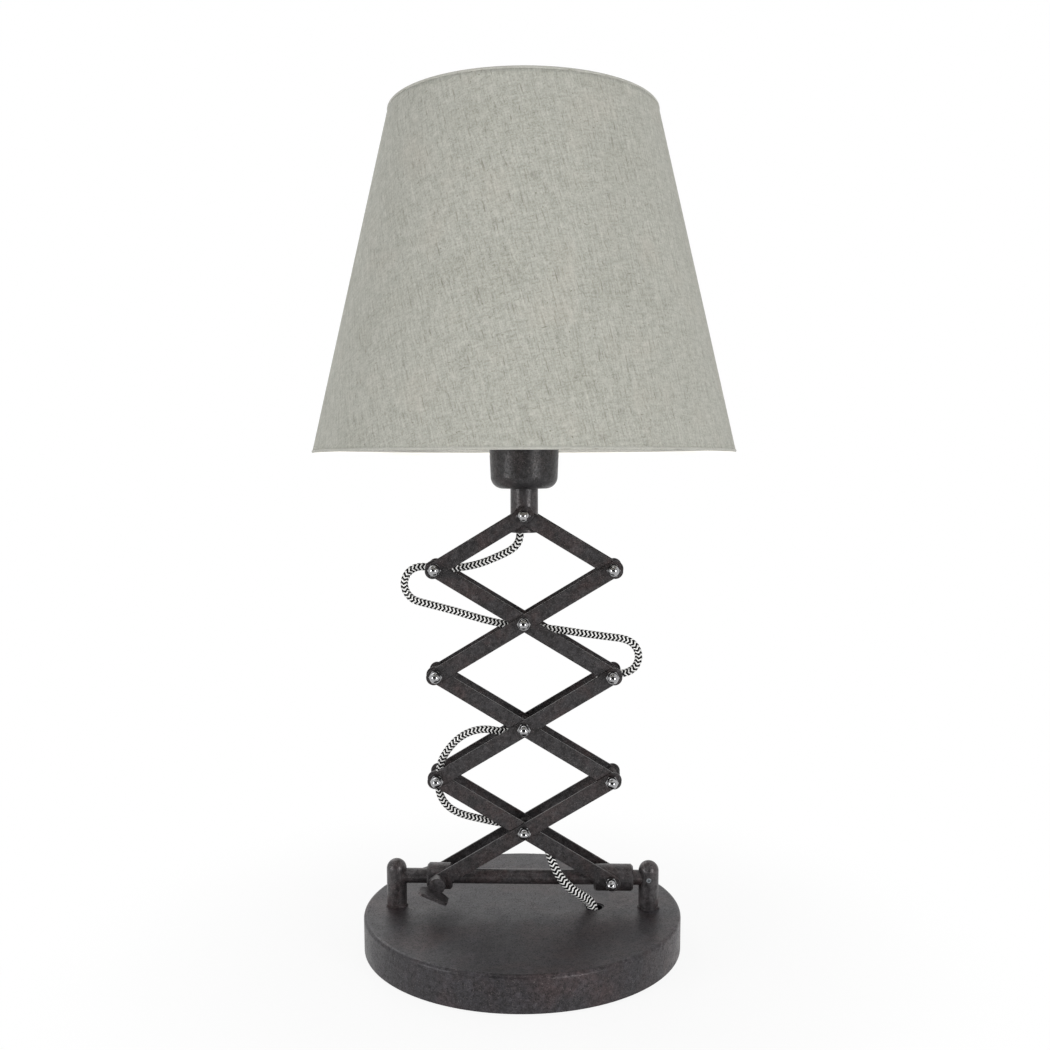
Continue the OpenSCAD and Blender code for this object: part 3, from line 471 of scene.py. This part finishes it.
def threaded(name, source, pitch, depth):
    """A copy of a material with a helical thread round the mast in its relief."""
    new = source.copy()
    new.name = name
    tree = new.node_tree
    parts = add(tree, "ShaderNodeSeparateXYZ", {0: object_place(tree)})
    turn = calc(tree, "ARCTAN2", parts.outputs["Y"], calc(tree, "SUBTRACT", parts.outputs["X"], MAST_X))
    rise = calc(tree, "MULTIPLY", parts.outputs["Z"], 2 * math.pi / pitch)
    wave = calc(tree, "SINE", calc(tree, "SUBTRACT", rise, turn))
    relief = add(tree, "ShaderNodeBump", {"Height": wave, "Strength": 0.9, "Distance": depth})
    shader = tree.nodes["Principled BSDF"]
    if shader.inputs["Normal"].links:
        tree.links.new(shader.inputs["Normal"].links[0].from_socket, relief.inputs["Normal"])
    tree.links.new(relief.outputs["Normal"], shader.inputs["Normal"])
    return new


SHELL_PITCH, SHELL_DEPTH = 3.6 * MM, 0.5 * MM
SKIRT_PITCH, SKIRT_DEPTH = 2.5 * MM, 0.3 * MM
shell_brass = threaded("rolled_brass", brass, SHELL_PITCH, SHELL_DEPTH)
skirt_plastic = threaded("threaded_plastic", plastic, SKIRT_PITCH, SKIRT_DEPTH)

felt, tree, shader = material("felt", Sheen_Weight=0.4, Sheen_Roughness=0.6, Roughness=0.95)
fibres = noise(tree, object_place(tree), 900.0, 8.0, 0.75, 1.2)
two_tone(tree, shader, fibres, 0.35, 0.7, srgb(20, 20, 21), srgb(52, 51, 51))
emboss(tree, shader, fibres, 0.8, 0.0006)

white_coat, tree, shader = material("white_coat")
peel = noise(tree, object_place(tree), 900.0, 3.0, 0.5)
two_tone(tree, shader, peel, 0.35, 0.7, srgb(226, 224, 217), srgb(216, 213, 205))
tree.links.new(ramp(tree, peel, 0.3, 0.7, 0.32, 0.44), shader.inputs["Roughness"])
emboss(tree, shader, peel, 0.2, 0.0001)

ARMS = [
    f"{way}_{arm}_{side}"
    for way in ("falling", "rising")
    for arm in ("arm_1", "arm_2", "arm_3", "top_arm")
    for side in ("front", "rear")
]
FINISH = {
    antique: ARMS + (
        "fixed_pivot_stud slider_rear_screw arm_bolts_1 arm_bolts_2 arm_bolts_3 top_bolts stem stem_pivot_stud"
    ).split(),
    turned_coat: (
        "post_left post_right guide_rod fixed_collar sliding_collar slider_spacers wing_screw"
    ).split(),
    cup_coat: ["holder_cup"],
    base_coat: ["base_cover"],
    cast: ["base_weight"],
    felt: ["base_felt"],
    plastic: ["mains_bush", "deck_bush", "stem_bush", "shade_clamp_ring"],
    skirt_plastic: ["lampholder_body"],
    chrome: ["fixed_pivot_nuts", "arm_nuts_1", "arm_nuts_2", "arm_nuts_3", "top_nuts", "stem_pivot_nuts"],
    zinc: ["post_screws", "rod_set_screws", "nipple"],
    white_coat: ["shade_frame", "shade_top_ring"],
    shell_brass: ["screw_shell"],
    brass: ["centre_contact"],
}
for finish, names in FINISH.items():
    for name in names:
        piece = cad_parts[name]
        piece.data.materials.clear()
        piece.data.materials.append(finish)
finished_names = {name for names in FINISH.values() for name in names}
bare = set(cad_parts) - finished_names - set(ROUTES) - {"shade_cover"}
print("nodes without a finish:", sorted(bare))

# %% [markdown]
# ## Braid of the flex
#
# Sixteen bobbins lay the braid, half of them black and half white, and the bars they leave
# run round the flex in a zigzag: one black and one white bar every 2.35 mm, four zigzags
# round. The map 'braid' gives the share of the way round and the metres along.

# %% Braid
tree, given_in, out = shader_group(
    "Braid",
    [
        ("Map", "Vector"), ("Bar pitch", "Float", 2.35 * MM), ("Zigzags", "Float", 4.0),
        ("Slant", "Float", 0.5),
    ],
    [("Color", "Color"), ("Height", "Float")],
)
parts = add(tree, "ShaderNodeSeparateXYZ", {0: given_in.outputs["Map"]})
around = calc(tree, "MULTIPLY", parts.outputs["X"], given_in.outputs["Zigzags"])
steps = calc(tree, "DIVIDE", parts.outputs["Y"], given_in.outputs["Bar pitch"])
fray = noise(tree, stretched(tree, given_in.outputs["Map"], 9.0, 700.0), 1.0, 2.0, 0.5)
zigzag = calc(tree, "MULTIPLY", calc(tree, "PINGPONG", around, 0.5), 2.0)
phase = calc(tree, "ADD", steps, calc(tree, "MULTIPLY", zigzag, given_in.outputs["Slant"]))
phase = calc(tree, "ADD", phase, calc(tree, "MULTIPLY", calc(tree, "SUBTRACT", fray, 0.5), 0.16))
bar = calc(tree, "SINE", calc(tree, "MULTIPLY", phase, 2 * math.pi))
white = ramp(tree, bar, 0.16, 0.46, kind="SMOOTHSTEP")
strand = calc(tree, "MULTIPLY", calc(tree, "MULTIPLY", parts.outputs["X"], 32.0), math.pi)
yarn = calc(tree, "ABSOLUTE", calc(tree, "SINE", strand))
swell = calc(tree, "ABSOLUTE", bar)
height = calc(tree, "ADD", calc(tree, "MULTIPLY", swell, 0.7), calc(tree, "MULTIPLY", yarn, 0.3))
light = mix(tree, ramp(tree, fray, 0.3, 0.7), srgb(255, 255, 253), srgb(240, 240, 238))
dark = mix(tree, ramp(tree, fray, 0.3, 0.7), srgb(6, 6, 7), srgb(18, 18, 20))
colour = mix(tree, white, dark, light)
tree.links.new(colour, out.inputs["Color"])
tree.links.new(height, out.inputs["Height"])
braid_group = tree

braid, tree, shader = material("braid", Roughness=0.8, Specular_IOR_Level=0.2)
group = add(tree, "ShaderNodeGroup", {"Map": map_place(tree, "braid")}, node_tree=braid_group)
tree.links.new(group.outputs["Color"], shader.inputs["Base Color"])
emboss(tree, shader, group.outputs["Height"], 0.7, 0.0004)
for piece in flexes.values():
    piece.data.materials.append(braid)
print("braid on", len(flexes), "stretches")

# %% [markdown]
# ## The linen shade
#
# A conical shade is cut flat, as a sector of a ring, from linen bonded to a white plastic
# liner, and then rolled until its ends lap at the back. So the threads run straight in
# the flat cut, not along the cone: on this shade they climb to the right on its left
# side, and come level towards its right side. The tree below rolls the sector the same
# way. It makes a flat grid, stores where each point lay in the flat cut (the map 'flat',
# in metres), rolls it and gives it its wall. The cloth faces out and the liner faces in.

# %% Shade sizes
SHADE_Z = 294.571 * MM                  # lower edge
SHADE_HEIGHT = 186 * MM
SHADE_LOW, SHADE_HIGH = 120 * MM, 75 * MM
SHADE_WALL = 0.8 * MM
HEM_RADIUS = 0.8 * MM
LAP = 9 * MM                            # the ends lap at the back
GRAIN_TURN = math.radians(-50)          # where round the shade the weft lies level
slope = math.atan((SHADE_LOW - SHADE_HIGH) / SHADE_HEIGHT)

# %% Geometry Nodes: rolled shade


def geometry_tree(name, inputs):
    """An empty geometry tree; inputs is a list of (name, type, default)."""
    tree = bpy.data.node_groups.new(name, "GeometryNodeTree")
    for label, kind, default in inputs:
        socket = tree.interface.new_socket(label, in_out="INPUT", socket_type=f"NodeSocket{kind}")
        if default is not None:
            socket.default_value = default
    tree.interface.new_socket("Geometry", in_out="OUTPUT", socket_type="NodeSocketGeometry")
    return tree, tree.nodes.new("NodeGroupInput").outputs, tree.nodes.new("NodeGroupOutput")


def grown(name, tree, **values):
    """The plain mesh that a tree makes, as an object at the origin."""
    empty = bpy.data.meshes.new(name + "_start")
    source = bpy.data.objects.new(name + "_start", empty)
    bpy.context.scene.collection.objects.link(source)
    modifier = source.modifiers.new("nodes", "NODES")
    modifier.node_group = tree
    sockets = {item.name: item.identifier for item in tree.interface.items_tree if item.in_out == "INPUT"}
    for label, value in values.items():
        modifier[sockets[label.replace("_", " ")]] = value
    bpy.context.view_layer.update()
    graph = bpy.context.evaluated_depsgraph_get()
    mesh = bpy.data.meshes.new_from_object(
        source.evaluated_get(graph), preserve_all_data_layers=True, depsgraph=graph,
    )
    mesh.name = name
    source.modifiers.clear()
    bpy.data.objects.remove(source)
    piece = bpy.data.objects.new(name, mesh)
    bpy.context.scene.collection.objects.link(piece)
    used = [m.name for m in mesh.materials if m]
    print(name, len(mesh.vertices), "points,", len(mesh.polygons), "faces, materials", used)
    return piece


def vector_of(tree, x, y, z):
    return add(tree, "ShaderNodeCombineXYZ", {"X": x, "Y": y, "Z": z}).outputs[0]


tree, given_in, out = geometry_tree(
    "Rolled shade",
    [
        ("Lower radius", "Float", SHADE_LOW), ("Upper radius", "Float", SHADE_HIGH),
        ("Height", "Float", SHADE_HEIGHT), ("Lower edge", "Float", SHADE_Z), ("Axis", "Float", MAST_X),
        ("Wall", "Float", SHADE_WALL), ("Lap", "Float", LAP), ("Grain turn", "Float", GRAIN_TURN),
        ("Columns", "Int", 240), ("Rows", "Int", 60),
        ("Cloth", "Material", None), ("Liner", "Material", None),
    ],
)
grid = add(tree, "GeometryNodeMeshGrid", {
    "Size X": 1.0, "Size Y": 1.0,
    "Vertices X": calc(tree, "ADD", given_in["Columns"], 1),
    "Vertices Y": calc(tree, "ADD", given_in["Rows"], 1),
})
flat_place = add(tree, "ShaderNodeSeparateXYZ", {0: add(tree, "GeometryNodeInputPosition").outputs[0]})
around = calc(tree, "ADD", flat_place.outputs["X"], 0.5)
up = calc(tree, "ADD", flat_place.outputs["Y"], 0.5)
lap_turn = calc(tree, "DIVIDE", given_in["Lap"], given_in["Lower radius"])
full_turn = calc(tree, "ADD", lap_turn, 2 * math.pi)
swept = calc(tree, "MULTIPLY", around, full_turn)
turn = calc(tree, "ADD", swept, math.pi / 2)
drop = calc(tree, "SUBTRACT", given_in["Upper radius"], given_in["Lower radius"])
radius = calc(tree, "ADD", given_in["Lower radius"], calc(tree, "MULTIPLY", up, drop))
steep = calc(tree, "ARCTAN2", calc(tree, "MULTIPLY", drop, -1.0), given_in["Height"])
sine = calc(tree, "SINE", steep)
slant = calc(tree, "DIVIDE", radius, sine)
fan = calc(tree, "MULTIPLY", calc(tree, "SUBTRACT", turn, given_in["Grain turn"]), sine)
flat_map = vector_of(
    tree,
    calc(tree, "MULTIPLY", slant, calc(tree, "SINE", fan)),
    calc(tree, "MULTIPLY", slant, calc(tree, "MULTIPLY", calc(tree, "COSINE", fan), -1.0)),
    0.0,
)
mapped = add(
    tree, "GeometryNodeStoreNamedAttribute",
    {"Geometry": grid.outputs["Mesh"], "Name": "flat", "Value": flat_map},
    data_type="FLOAT2", domain="CORNER",
)
past_start = calc(tree, "SUBTRACT", swept, 2 * math.pi)
step_out = ramp(tree, past_start, calc(tree, "MULTIPLY", lap_turn, -0.35), 0.0, kind="SMOOTHSTEP")
raised = calc(tree, "MULTIPLY", calc(tree, "MULTIPLY", step_out, given_in["Wall"]), 1.15)
reach = calc(tree, "ADD", radius, raised)
rolled_place = vector_of(
    tree,
    calc(tree, "ADD", given_in["Axis"], calc(tree, "MULTIPLY", reach, calc(tree, "COSINE", turn))),
    calc(tree, "MULTIPLY", reach, calc(tree, "SINE", turn)),
    calc(tree, "ADD", given_in["Lower edge"], calc(tree, "MULTIPLY", up, given_in["Height"])),
)
rolled = add(tree, "GeometryNodeSetPosition", {
    "Geometry": mapped.outputs["Geometry"], "Position": rolled_place,
})
cloth = add(tree, "GeometryNodeSetMaterial", {
    "Geometry": rolled.outputs["Geometry"], "Material": given_in["Cloth"],
})
inward = add(tree, "ShaderNodeVectorMath", {
    0: add(tree, "GeometryNodeInputNormal").outputs[0],
    "Scale": calc(tree, "MULTIPLY", given_in["Wall"], -1.0),
}, operation="SCALE")
thick = add(tree, "GeometryNodeExtrudeMesh", {
    "Mesh": cloth.outputs["Geometry"], "Offset": inward.outputs[0], "Offset Scale": 1.0, "Individual": False,
}, mode="FACES")
lined = add(tree, "GeometryNodeSetMaterial", {
    "Geometry": thick.outputs["Mesh"], "Selection": thick.outputs["Top"], "Material": given_in["Liner"],
})
flipped = add(tree, "GeometryNodeFlipFaces", {"Mesh": lined.outputs["Geometry"]})
both = tree.nodes.new("GeometryNodeJoinGeometry")
tree.links.new(flipped.outputs["Mesh"], both.inputs[0])
tree.links.new(cloth.outputs["Geometry"], both.inputs[0])
welded = add(tree, "GeometryNodeMergeByDistance", {"Geometry": both.outputs[0], "Distance": 1e-6})
smoothed = add(tree, "GeometryNodeSetShadeSmooth", {"Geometry": welded.outputs[0], "Shade Smooth": True})
real = add(tree, "GeometryNodeRealizeInstances", {"Geometry": smoothed.outputs[0]})
tree.links.new(real.outputs[0], out.inputs[0])
rolled_shade = tree

# %% [markdown]
# Under the shade's near edge the photograph shows a sliver of the far inside, as white as
# the paper behind it. The liner's lowest two centimetres get a little emission, which stands
# for the light that the white table throws up there. The rest of the liner has none.
#
# The cloth is a plain weave of slubby linen yarn, about 15 threads to the centimetre.
# Thick and thin places run along single yarns, in both directions, and darker bits of
# straw are spun into them. The group works in the flat cut, so the weave follows it.

# %% Linen
tree, given_in, out = shader_group(
    "Linen weave",
    [
        ("Flat", "Vector"), ("Thread pitch", "Float", 0.66 * MM),
        ("Yarn", "Color", srgb(191, 191, 182)), ("Shadow", "Color", srgb(130, 130, 120)),
        ("Straw", "Color", srgb(102, 99, 82)), ("Warm", "Color", srgb(190, 182, 170)),
    ],
    [("Color", "Color"), ("Height", "Float")],
)
flat_at = given_in.outputs["Flat"]
sway = add(tree, "ShaderNodeTexNoise", {"Vector": flat_at, "Scale": 90.0, "Detail": 2.0})
sway = add(tree, "ShaderNodeVectorMath", {0: sway.outputs["Color"], 1: (0.5, 0.5, 0.5)}, operation="SUBTRACT")
sway = add(tree, "ShaderNodeVectorMath", {0: sway.outputs[0], "Scale": 0.0011}, operation="SCALE")
swayed = add(tree, "ShaderNodeVectorMath", {0: flat_at, 1: sway.outputs[0]}, operation="ADD").outputs[0]
per_thread = calc(tree, "DIVIDE", math.pi, given_in.outputs["Thread pitch"])
scaled = add(tree, "ShaderNodeVectorMath", {0: swayed, "Scale": per_thread}, operation="SCALE")
threads = add(tree, "ShaderNodeSeparateXYZ", {0: scaled.outputs[0]})
warp_wave = calc(tree, "SINE", threads.outputs["X"])
weft_wave = calc(tree, "SINE", threads.outputs["Y"])
over = calc(tree, "MULTIPLY_ADD", calc(tree, "MULTIPLY", warp_wave, weft_wave), 0.5, 0.5)
weft = noise(tree, stretched(tree, swayed, 64.0, 760.0), 1.0, 4.0, 0.78)
warp = noise(tree, stretched(tree, swayed, 620.0, 130.0, 1.0), 1.0, 4.0, 0.74)
slub = calc(tree, "ADD", calc(tree, "MULTIPLY", weft, 0.55), calc(tree, "MULTIPLY", warp, 0.45))
warp_crown = calc(tree, "MULTIPLY", calc(tree, "ABSOLUTE", warp_wave), calc(tree, "SUBTRACT", 1.0, over))
weft_crown = calc(tree, "MULTIPLY", calc(tree, "ABSOLUTE", weft_wave), over)
crest_relief_and_shading = calc(tree, "ADD", warp_crown, weft_crown)
grain = noise(tree, swayed, 1000.0, 3.0, 0.7)
clump = noise(tree, swayed, 210.0, 4.0, 0.7)
# The crests of the threads are painted lighter here and the gaps between them darker: painted light and shade
# at the size of a thread.
shade_of = calc(tree, "ADD", ramp(tree, slub, 0.4, 0.6, 0.0, 0.44), calc(tree, "MULTIPLY", crest_relief_and_shading, 0.12))
shade_of = calc(tree, "ADD", shade_of, ramp(tree, grain, 0.34, 0.66, 0.0, 0.44))
shade_of = calc(tree, "ADD", shade_of, ramp(tree, clump, 0.36, 0.64, 0.0, 0.2))
colour = mix(tree, shade_of, given_in.outputs["Shadow"], given_in.outputs["Yarn"])
warm = noise(tree, swayed, 26.0, 3.0, 0.6)
colour = mix(tree, ramp(tree, warm, 0.54, 0.74, 0.0, 0.22), colour, given_in.outputs["Warm"])
colour = mix(tree, ramp(tree, warm, 0.46, 0.3, 0.0, 0.14), colour, given_in.outputs["Straw"], "SOFT_LIGHT")
weft_straw = noise(tree, stretched(tree, swayed, 95.0, 900.0), 1.0, 3.0, 0.66)
warp_straw = noise(tree, stretched(tree, swayed, 800.0, 210.0, 1.0), 1.0, 2.0, 0.6)
knots = noise(tree, swayed, 620.0, 1.0, 0.5)
straw = calc(tree, "MAXIMUM", ramp(tree, weft_straw, 0.58, 0.74), ramp(tree, warp_straw, 0.66, 0.8))
straw = calc(tree, "MAXIMUM", straw, ramp(tree, knots, 0.73, 0.8))
colour = mix(tree, calc(tree, "MULTIPLY", straw, 0.72), colour, given_in.outputs["Straw"])
pale = noise(tree, stretched(tree, swayed, 70.0, 1100.0), 1.0, 2.0, 0.5)
colour = mix(tree, ramp(tree, pale, 0.62, 0.74, 0.0, 0.35), colour, srgb(208, 207, 198))
tree.links.new(colour, out.inputs["Color"])
woven = calc(tree, "ADD", calc(tree, "MULTIPLY", crest_relief_and_shading, 0.5), calc(tree, "MULTIPLY", slub, 0.9))
tree.links.new(woven, out.inputs["Height"])
linen_weave = tree


def linen_cloth(name, roughness, strength, depth, inputs=()):
    """A material with the weave in the flat cut."""
    new, tree, shader = material(
        name, Roughness=roughness, Sheen_Weight=0.15, Sheen_Roughness=0.6, Specular_IOR_Level=0.25,
    )
    values = {"Flat": map_place(tree, "flat"), **dict(inputs)}
    group = add(tree, "ShaderNodeGroup", values, node_tree=linen_weave)
    tree.links.new(group.outputs["Color"], shader.inputs["Base Color"])
    emboss(tree, shader, group.outputs["Height"], strength, depth)
    return new


linen = linen_cloth("linen", 0.92, 0.8, 0.0004)

GLOW_LOW, GLOW_HIGH = 4 * MM, 24 * MM   # over the lower edge: full up to the first, none from the second
liner, tree, shader = material("shade_liner", Roughness=0.5, Specular_IOR_Level=0.4, Emission_Strength=0.6)
place = map_place(tree, "flat")
height = add(tree, "ShaderNodeSeparateXYZ", {0: object_place(tree)}).outputs["Z"]
from_table = ramp(tree, height, SHADE_Z + GLOW_LOW, SHADE_Z + GLOW_HIGH, 1.0, 0.0, kind="SMOOTHSTEP")
tree.links.new(mix(tree, from_table, (0, 0, 0, 1), (1.0, 0.99, 0.97, 1)), shader.inputs["Emission Color"])
clouded = noise(tree, place, 30.0, 3.0)
two_tone(tree, shader, clouded, 0.4, 0.7, srgb(232, 230, 222), srgb(222, 219, 209))
emboss(tree, shader, noise(tree, place, 1600.0, 3.0, 0.6), 0.15, 0.0001)

shade = grown("linen_shade", rolled_shade, Cloth=linen, Liner=liner)
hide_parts("shade_cover")
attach(shade, "head")

# %% [markdown]
# Each edge is rolled: the cloth is turned over and glued down, which leaves a thin round
# lip, a little paler than the cloth outside and as white as the liner inside.

# %% Rolled edges
tree, given_in, out = geometry_tree(
    "Rolled edge",
    [
        ("Ring radius", "Float", SHADE_LOW), ("Edge radius", "Float", HEM_RADIUS),
        ("Height", "Float", SHADE_Z), ("Axis", "Float", MAST_X), ("Around", "Int", 240),
        ("Cloth", "Material", None), ("Liner", "Material", None),
    ],
)
ring = add(tree, "GeometryNodeCurvePrimitiveCircle", {
    "Resolution": given_in["Around"], "Radius": given_in["Ring radius"],
})
section = add(tree, "GeometryNodeCurvePrimitiveCircle", {
    "Resolution": 14, "Radius": given_in["Edge radius"],
})
part_way = add(tree, "GeometryNodeSplineParameter")
ring_at = add(tree, "GeometryNodeCaptureAttribute", {"Geometry": ring.outputs["Curve"]})
ring_at.capture_items.new("FLOAT", "Along")
tree.links.new(part_way.outputs["Length"], ring_at.inputs["Along"])
section_at = add(tree, "GeometryNodeCaptureAttribute", {"Geometry": section.outputs["Curve"]})
section_at.capture_items.new("FLOAT", "Round")
tree.links.new(part_way.outputs["Length"], section_at.inputs["Round"])
lip = add(tree, "GeometryNodeCurveToMesh", {
    "Curve": ring_at.outputs["Geometry"], "Profile Curve": section_at.outputs["Geometry"],
})
lip_map = vector_of(tree, ring_at.outputs["Along"], section_at.outputs["Round"], 0.0)
lip_stored = add(
    tree, "GeometryNodeStoreNamedAttribute",
    {"Geometry": lip.outputs["Mesh"], "Name": "flat", "Value": lip_map},
    data_type="FLOAT2", domain="CORNER",
)
middle = vector_of(tree, given_in["Axis"], 0.0, given_in["Height"])
lifted = add(tree, "GeometryNodeTransform", {
    "Geometry": lip_stored.outputs["Geometry"], "Translation": middle,
})
smoothed = add(tree, "GeometryNodeSetShadeSmooth", {"Geometry": lifted.outputs[0], "Shade Smooth": True})
real = add(tree, "GeometryNodeRealizeInstances", {"Geometry": smoothed.outputs[0]})
covered = add(tree, "GeometryNodeSetMaterial", {"Geometry": real.outputs[0], "Material": given_in["Cloth"]})
from_axis = add(tree, "ShaderNodeVectorMath", {
    0: add(tree, "GeometryNodeInputPosition").outputs[0], 1: middle,
}, operation="SUBTRACT")
level = stretched(tree, from_axis.outputs[0], 1.0, 1.0, 0.0)
outward = add(tree, "ShaderNodeVectorMath", {0: level}, operation="NORMALIZE")
facing = add(tree, "ShaderNodeVectorMath", {
    0: add(tree, "GeometryNodeInputNormal").outputs[0], 1: outward.outputs[0],
}, operation="DOT_PRODUCT")
inside = add(
    tree, "FunctionNodeCompare", {"A": facing.outputs["Value"], "B": 0.2},
    data_type="FLOAT", operation="LESS_THAN",
)
finished = add(tree, "GeometryNodeSetMaterial", {
    "Geometry": covered.outputs[0], "Selection": inside.outputs[0], "Material": given_in["Liner"],
})
tree.links.new(finished.outputs[0], out.inputs[0])
rolled_edge = tree

hem_linen = linen_cloth(
    "linen_edge", 0.9, 0.5, 0.0003,
    {"Yarn": srgb(190, 190, 182), "Shadow": srgb(156, 155, 147), "Warm": srgb(188, 182, 173)},
)

middle_of_wall = SHADE_WALL / math.cos(slope) / 2
# Each lip takes the liner on its inner side, so the liner's glow near the lower edge, painted light from the
# table, is on the lower lip too.
hems = [
    grown(
        name, rolled_edge, Ring_radius=radius - middle_of_wall, Height=edge_height,
        Cloth=hem_linen, Liner=liner,
    )
    for name, radius, edge_height in (
        ("shade_lower_edge", SHADE_LOW, SHADE_Z),
        ("shade_upper_edge", SHADE_HIGH, SHADE_Z + SHADE_HEIGHT),
    )
]
for hem in hems:
    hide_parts("shade_cover")
    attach(hem, "head")

# %% [markdown]
# ## Studio
#
# A white floor under soft, even light, as in a catalogue: a tall softbox on either side of
# the camera, a wide one overhead and one behind the lamp, for its rear. The world is white
# where the camera or a mirror sees it and a soft grey where it only lights, so the colours
# keep their level. A wide dark card stands behind the camera. Only mirrors see it, so the
# nuts and the gloss of the coat are dark there, with the softboxes as highlights.

# %% Studio
FLOOR_REACH = 6.0
GLOW_FROM, GLOW_TO = 0.12, 0.3          # metres from the lamp; paper white beyond the second
WORLD_LIGHT, WORLD_SEEN = 0.43, 1.0     # strengths: what it lights with, and what is seen
CARD_REACH, CARD_PLACE, CARD_HEIGHT = 4.5, -1.9, 2.4
SOFTBOXES = {                           # place, target, width and height in metres, watts
    "key": ((1.05, -1.2, 0.34), (0, 0, 0.2), (0.45, 0.7), 12.5),
    "fill": ((-1.2, -0.85, 0.34), (0, 0, 0.2), (0.45, 0.7), 8.5),
    "top": ((0.2, -0.1, 1.7), (0, 0, 0.1), (1.4, 1.2), 2.5),
    "rear": ((-0.9, 1.5, 1.4), (0, 0, 0.25), (1.2, 1.0), 7.0),
}


def seen_straight(tree):
    """1 where the camera or a mirror looks, and 0 for light on its way to something else."""
    path = add(tree, "ShaderNodeLightPath")
    mirrored = calc(tree, "MAXIMUM", path.outputs["Is Glossy Ray"], path.outputs["Is Transmission Ray"])
    return calc(tree, "MAXIMUM", path.outputs["Is Camera Ray"], mirrored)


def panel(name, corners, finish):
    """A flat rectangle of the studio."""
    mesh = bpy.data.meshes.new(name)
    mesh.from_pydata(corners, [], [(0, 1, 2, 3)])
    mesh.materials.append(finish)
    piece = bpy.data.objects.new(name, mesh)
    bpy.context.scene.collection.objects.link(piece)
    return piece


def stage_material():
    """A matt floor near the lamp, which turns as white as paper further out."""
    new, tree, shader = material("studio_floor", Roughness=0.9)
    shader.inputs["Base Color"].default_value = (0.9, 0.9, 0.9, 1.0)
    direct = seen_straight(tree)
    glow = add(tree, "ShaderNodeEmission", {"Color": (1, 1, 1, 1), "Strength": 1.0})
    from_lamp = add(tree, "ShaderNodeVectorMath", {0: object_place(tree)}, operation="LENGTH")
    whiteness = ramp(tree, from_lamp.outputs["Value"], GLOW_FROM, GLOW_TO, 0.9, 1.0, kind="SMOOTHSTEP")
    part = add(tree, "ShaderNodeMixShader", {0: whiteness, 1: shader.outputs[0], 2: glow.outputs[0]})
    chosen = add(tree, "ShaderNodeMixShader", {0: direct, 1: shader.outputs[0], 2: part.outputs[0]})
    tree.links.new(chosen.outputs[0], tree.nodes["Material Output"].inputs["Surface"])
    return new


floor_corners = [(x * FLOOR_REACH, y * FLOOR_REACH, 0) for x, y in ((-1, -1), (1, -1), (1, 1), (-1, 1))]
floor = panel("studio_floor", floor_corners, stage_material())

world = bpy.data.worlds.new("studio")
bpy.context.scene.world = world
world.use_nodes = True
tree = world.node_tree
background = tree.nodes["Background"]
strength = ramp(tree, seen_straight(tree), 0.0, 1.0, WORLD_LIGHT, WORLD_SEEN)
tree.links.new(strength, background.inputs["Strength"])
background.inputs["Color"].default_value = (1, 1, 1, 1)


def softbox(name, place, target, size, power):
    """A rectangular light that faces its target and that the camera doesn't see."""
    data = bpy.data.lights.new(name, "AREA")
    data.shape, data.size, data.size_y, data.energy = "RECTANGLE", size[0], size[1], power
    lamp = bpy.data.objects.new(name, data)
    bpy.context.scene.collection.objects.link(lamp)
    lamp.location = place
    lamp.visible_camera = False
    lamp.rotation_euler = (Vector(target) - Vector(place)).to_track_quat("-Z", "Y").to_euler()


card_black, tree, shader = material("studio_card", Roughness=0.9)
shader.inputs["Base Color"].default_value = (0.03, 0.03, 0.03, 1.0)
card = panel("studio_card", [
    (-CARD_REACH, CARD_PLACE, 0.0), (CARD_REACH, CARD_PLACE, 0.0),
    (CARD_REACH, CARD_PLACE, CARD_HEIGHT), (-CARD_REACH, CARD_PLACE, CARD_HEIGHT),
], card_black)
card.visible_camera = card.visible_diffuse = card.visible_shadow = False

for name, settings in SOFTBOXES.items():
    softbox(name, *settings)
bpy.context.scene.view_settings.view_transform = "Standard"
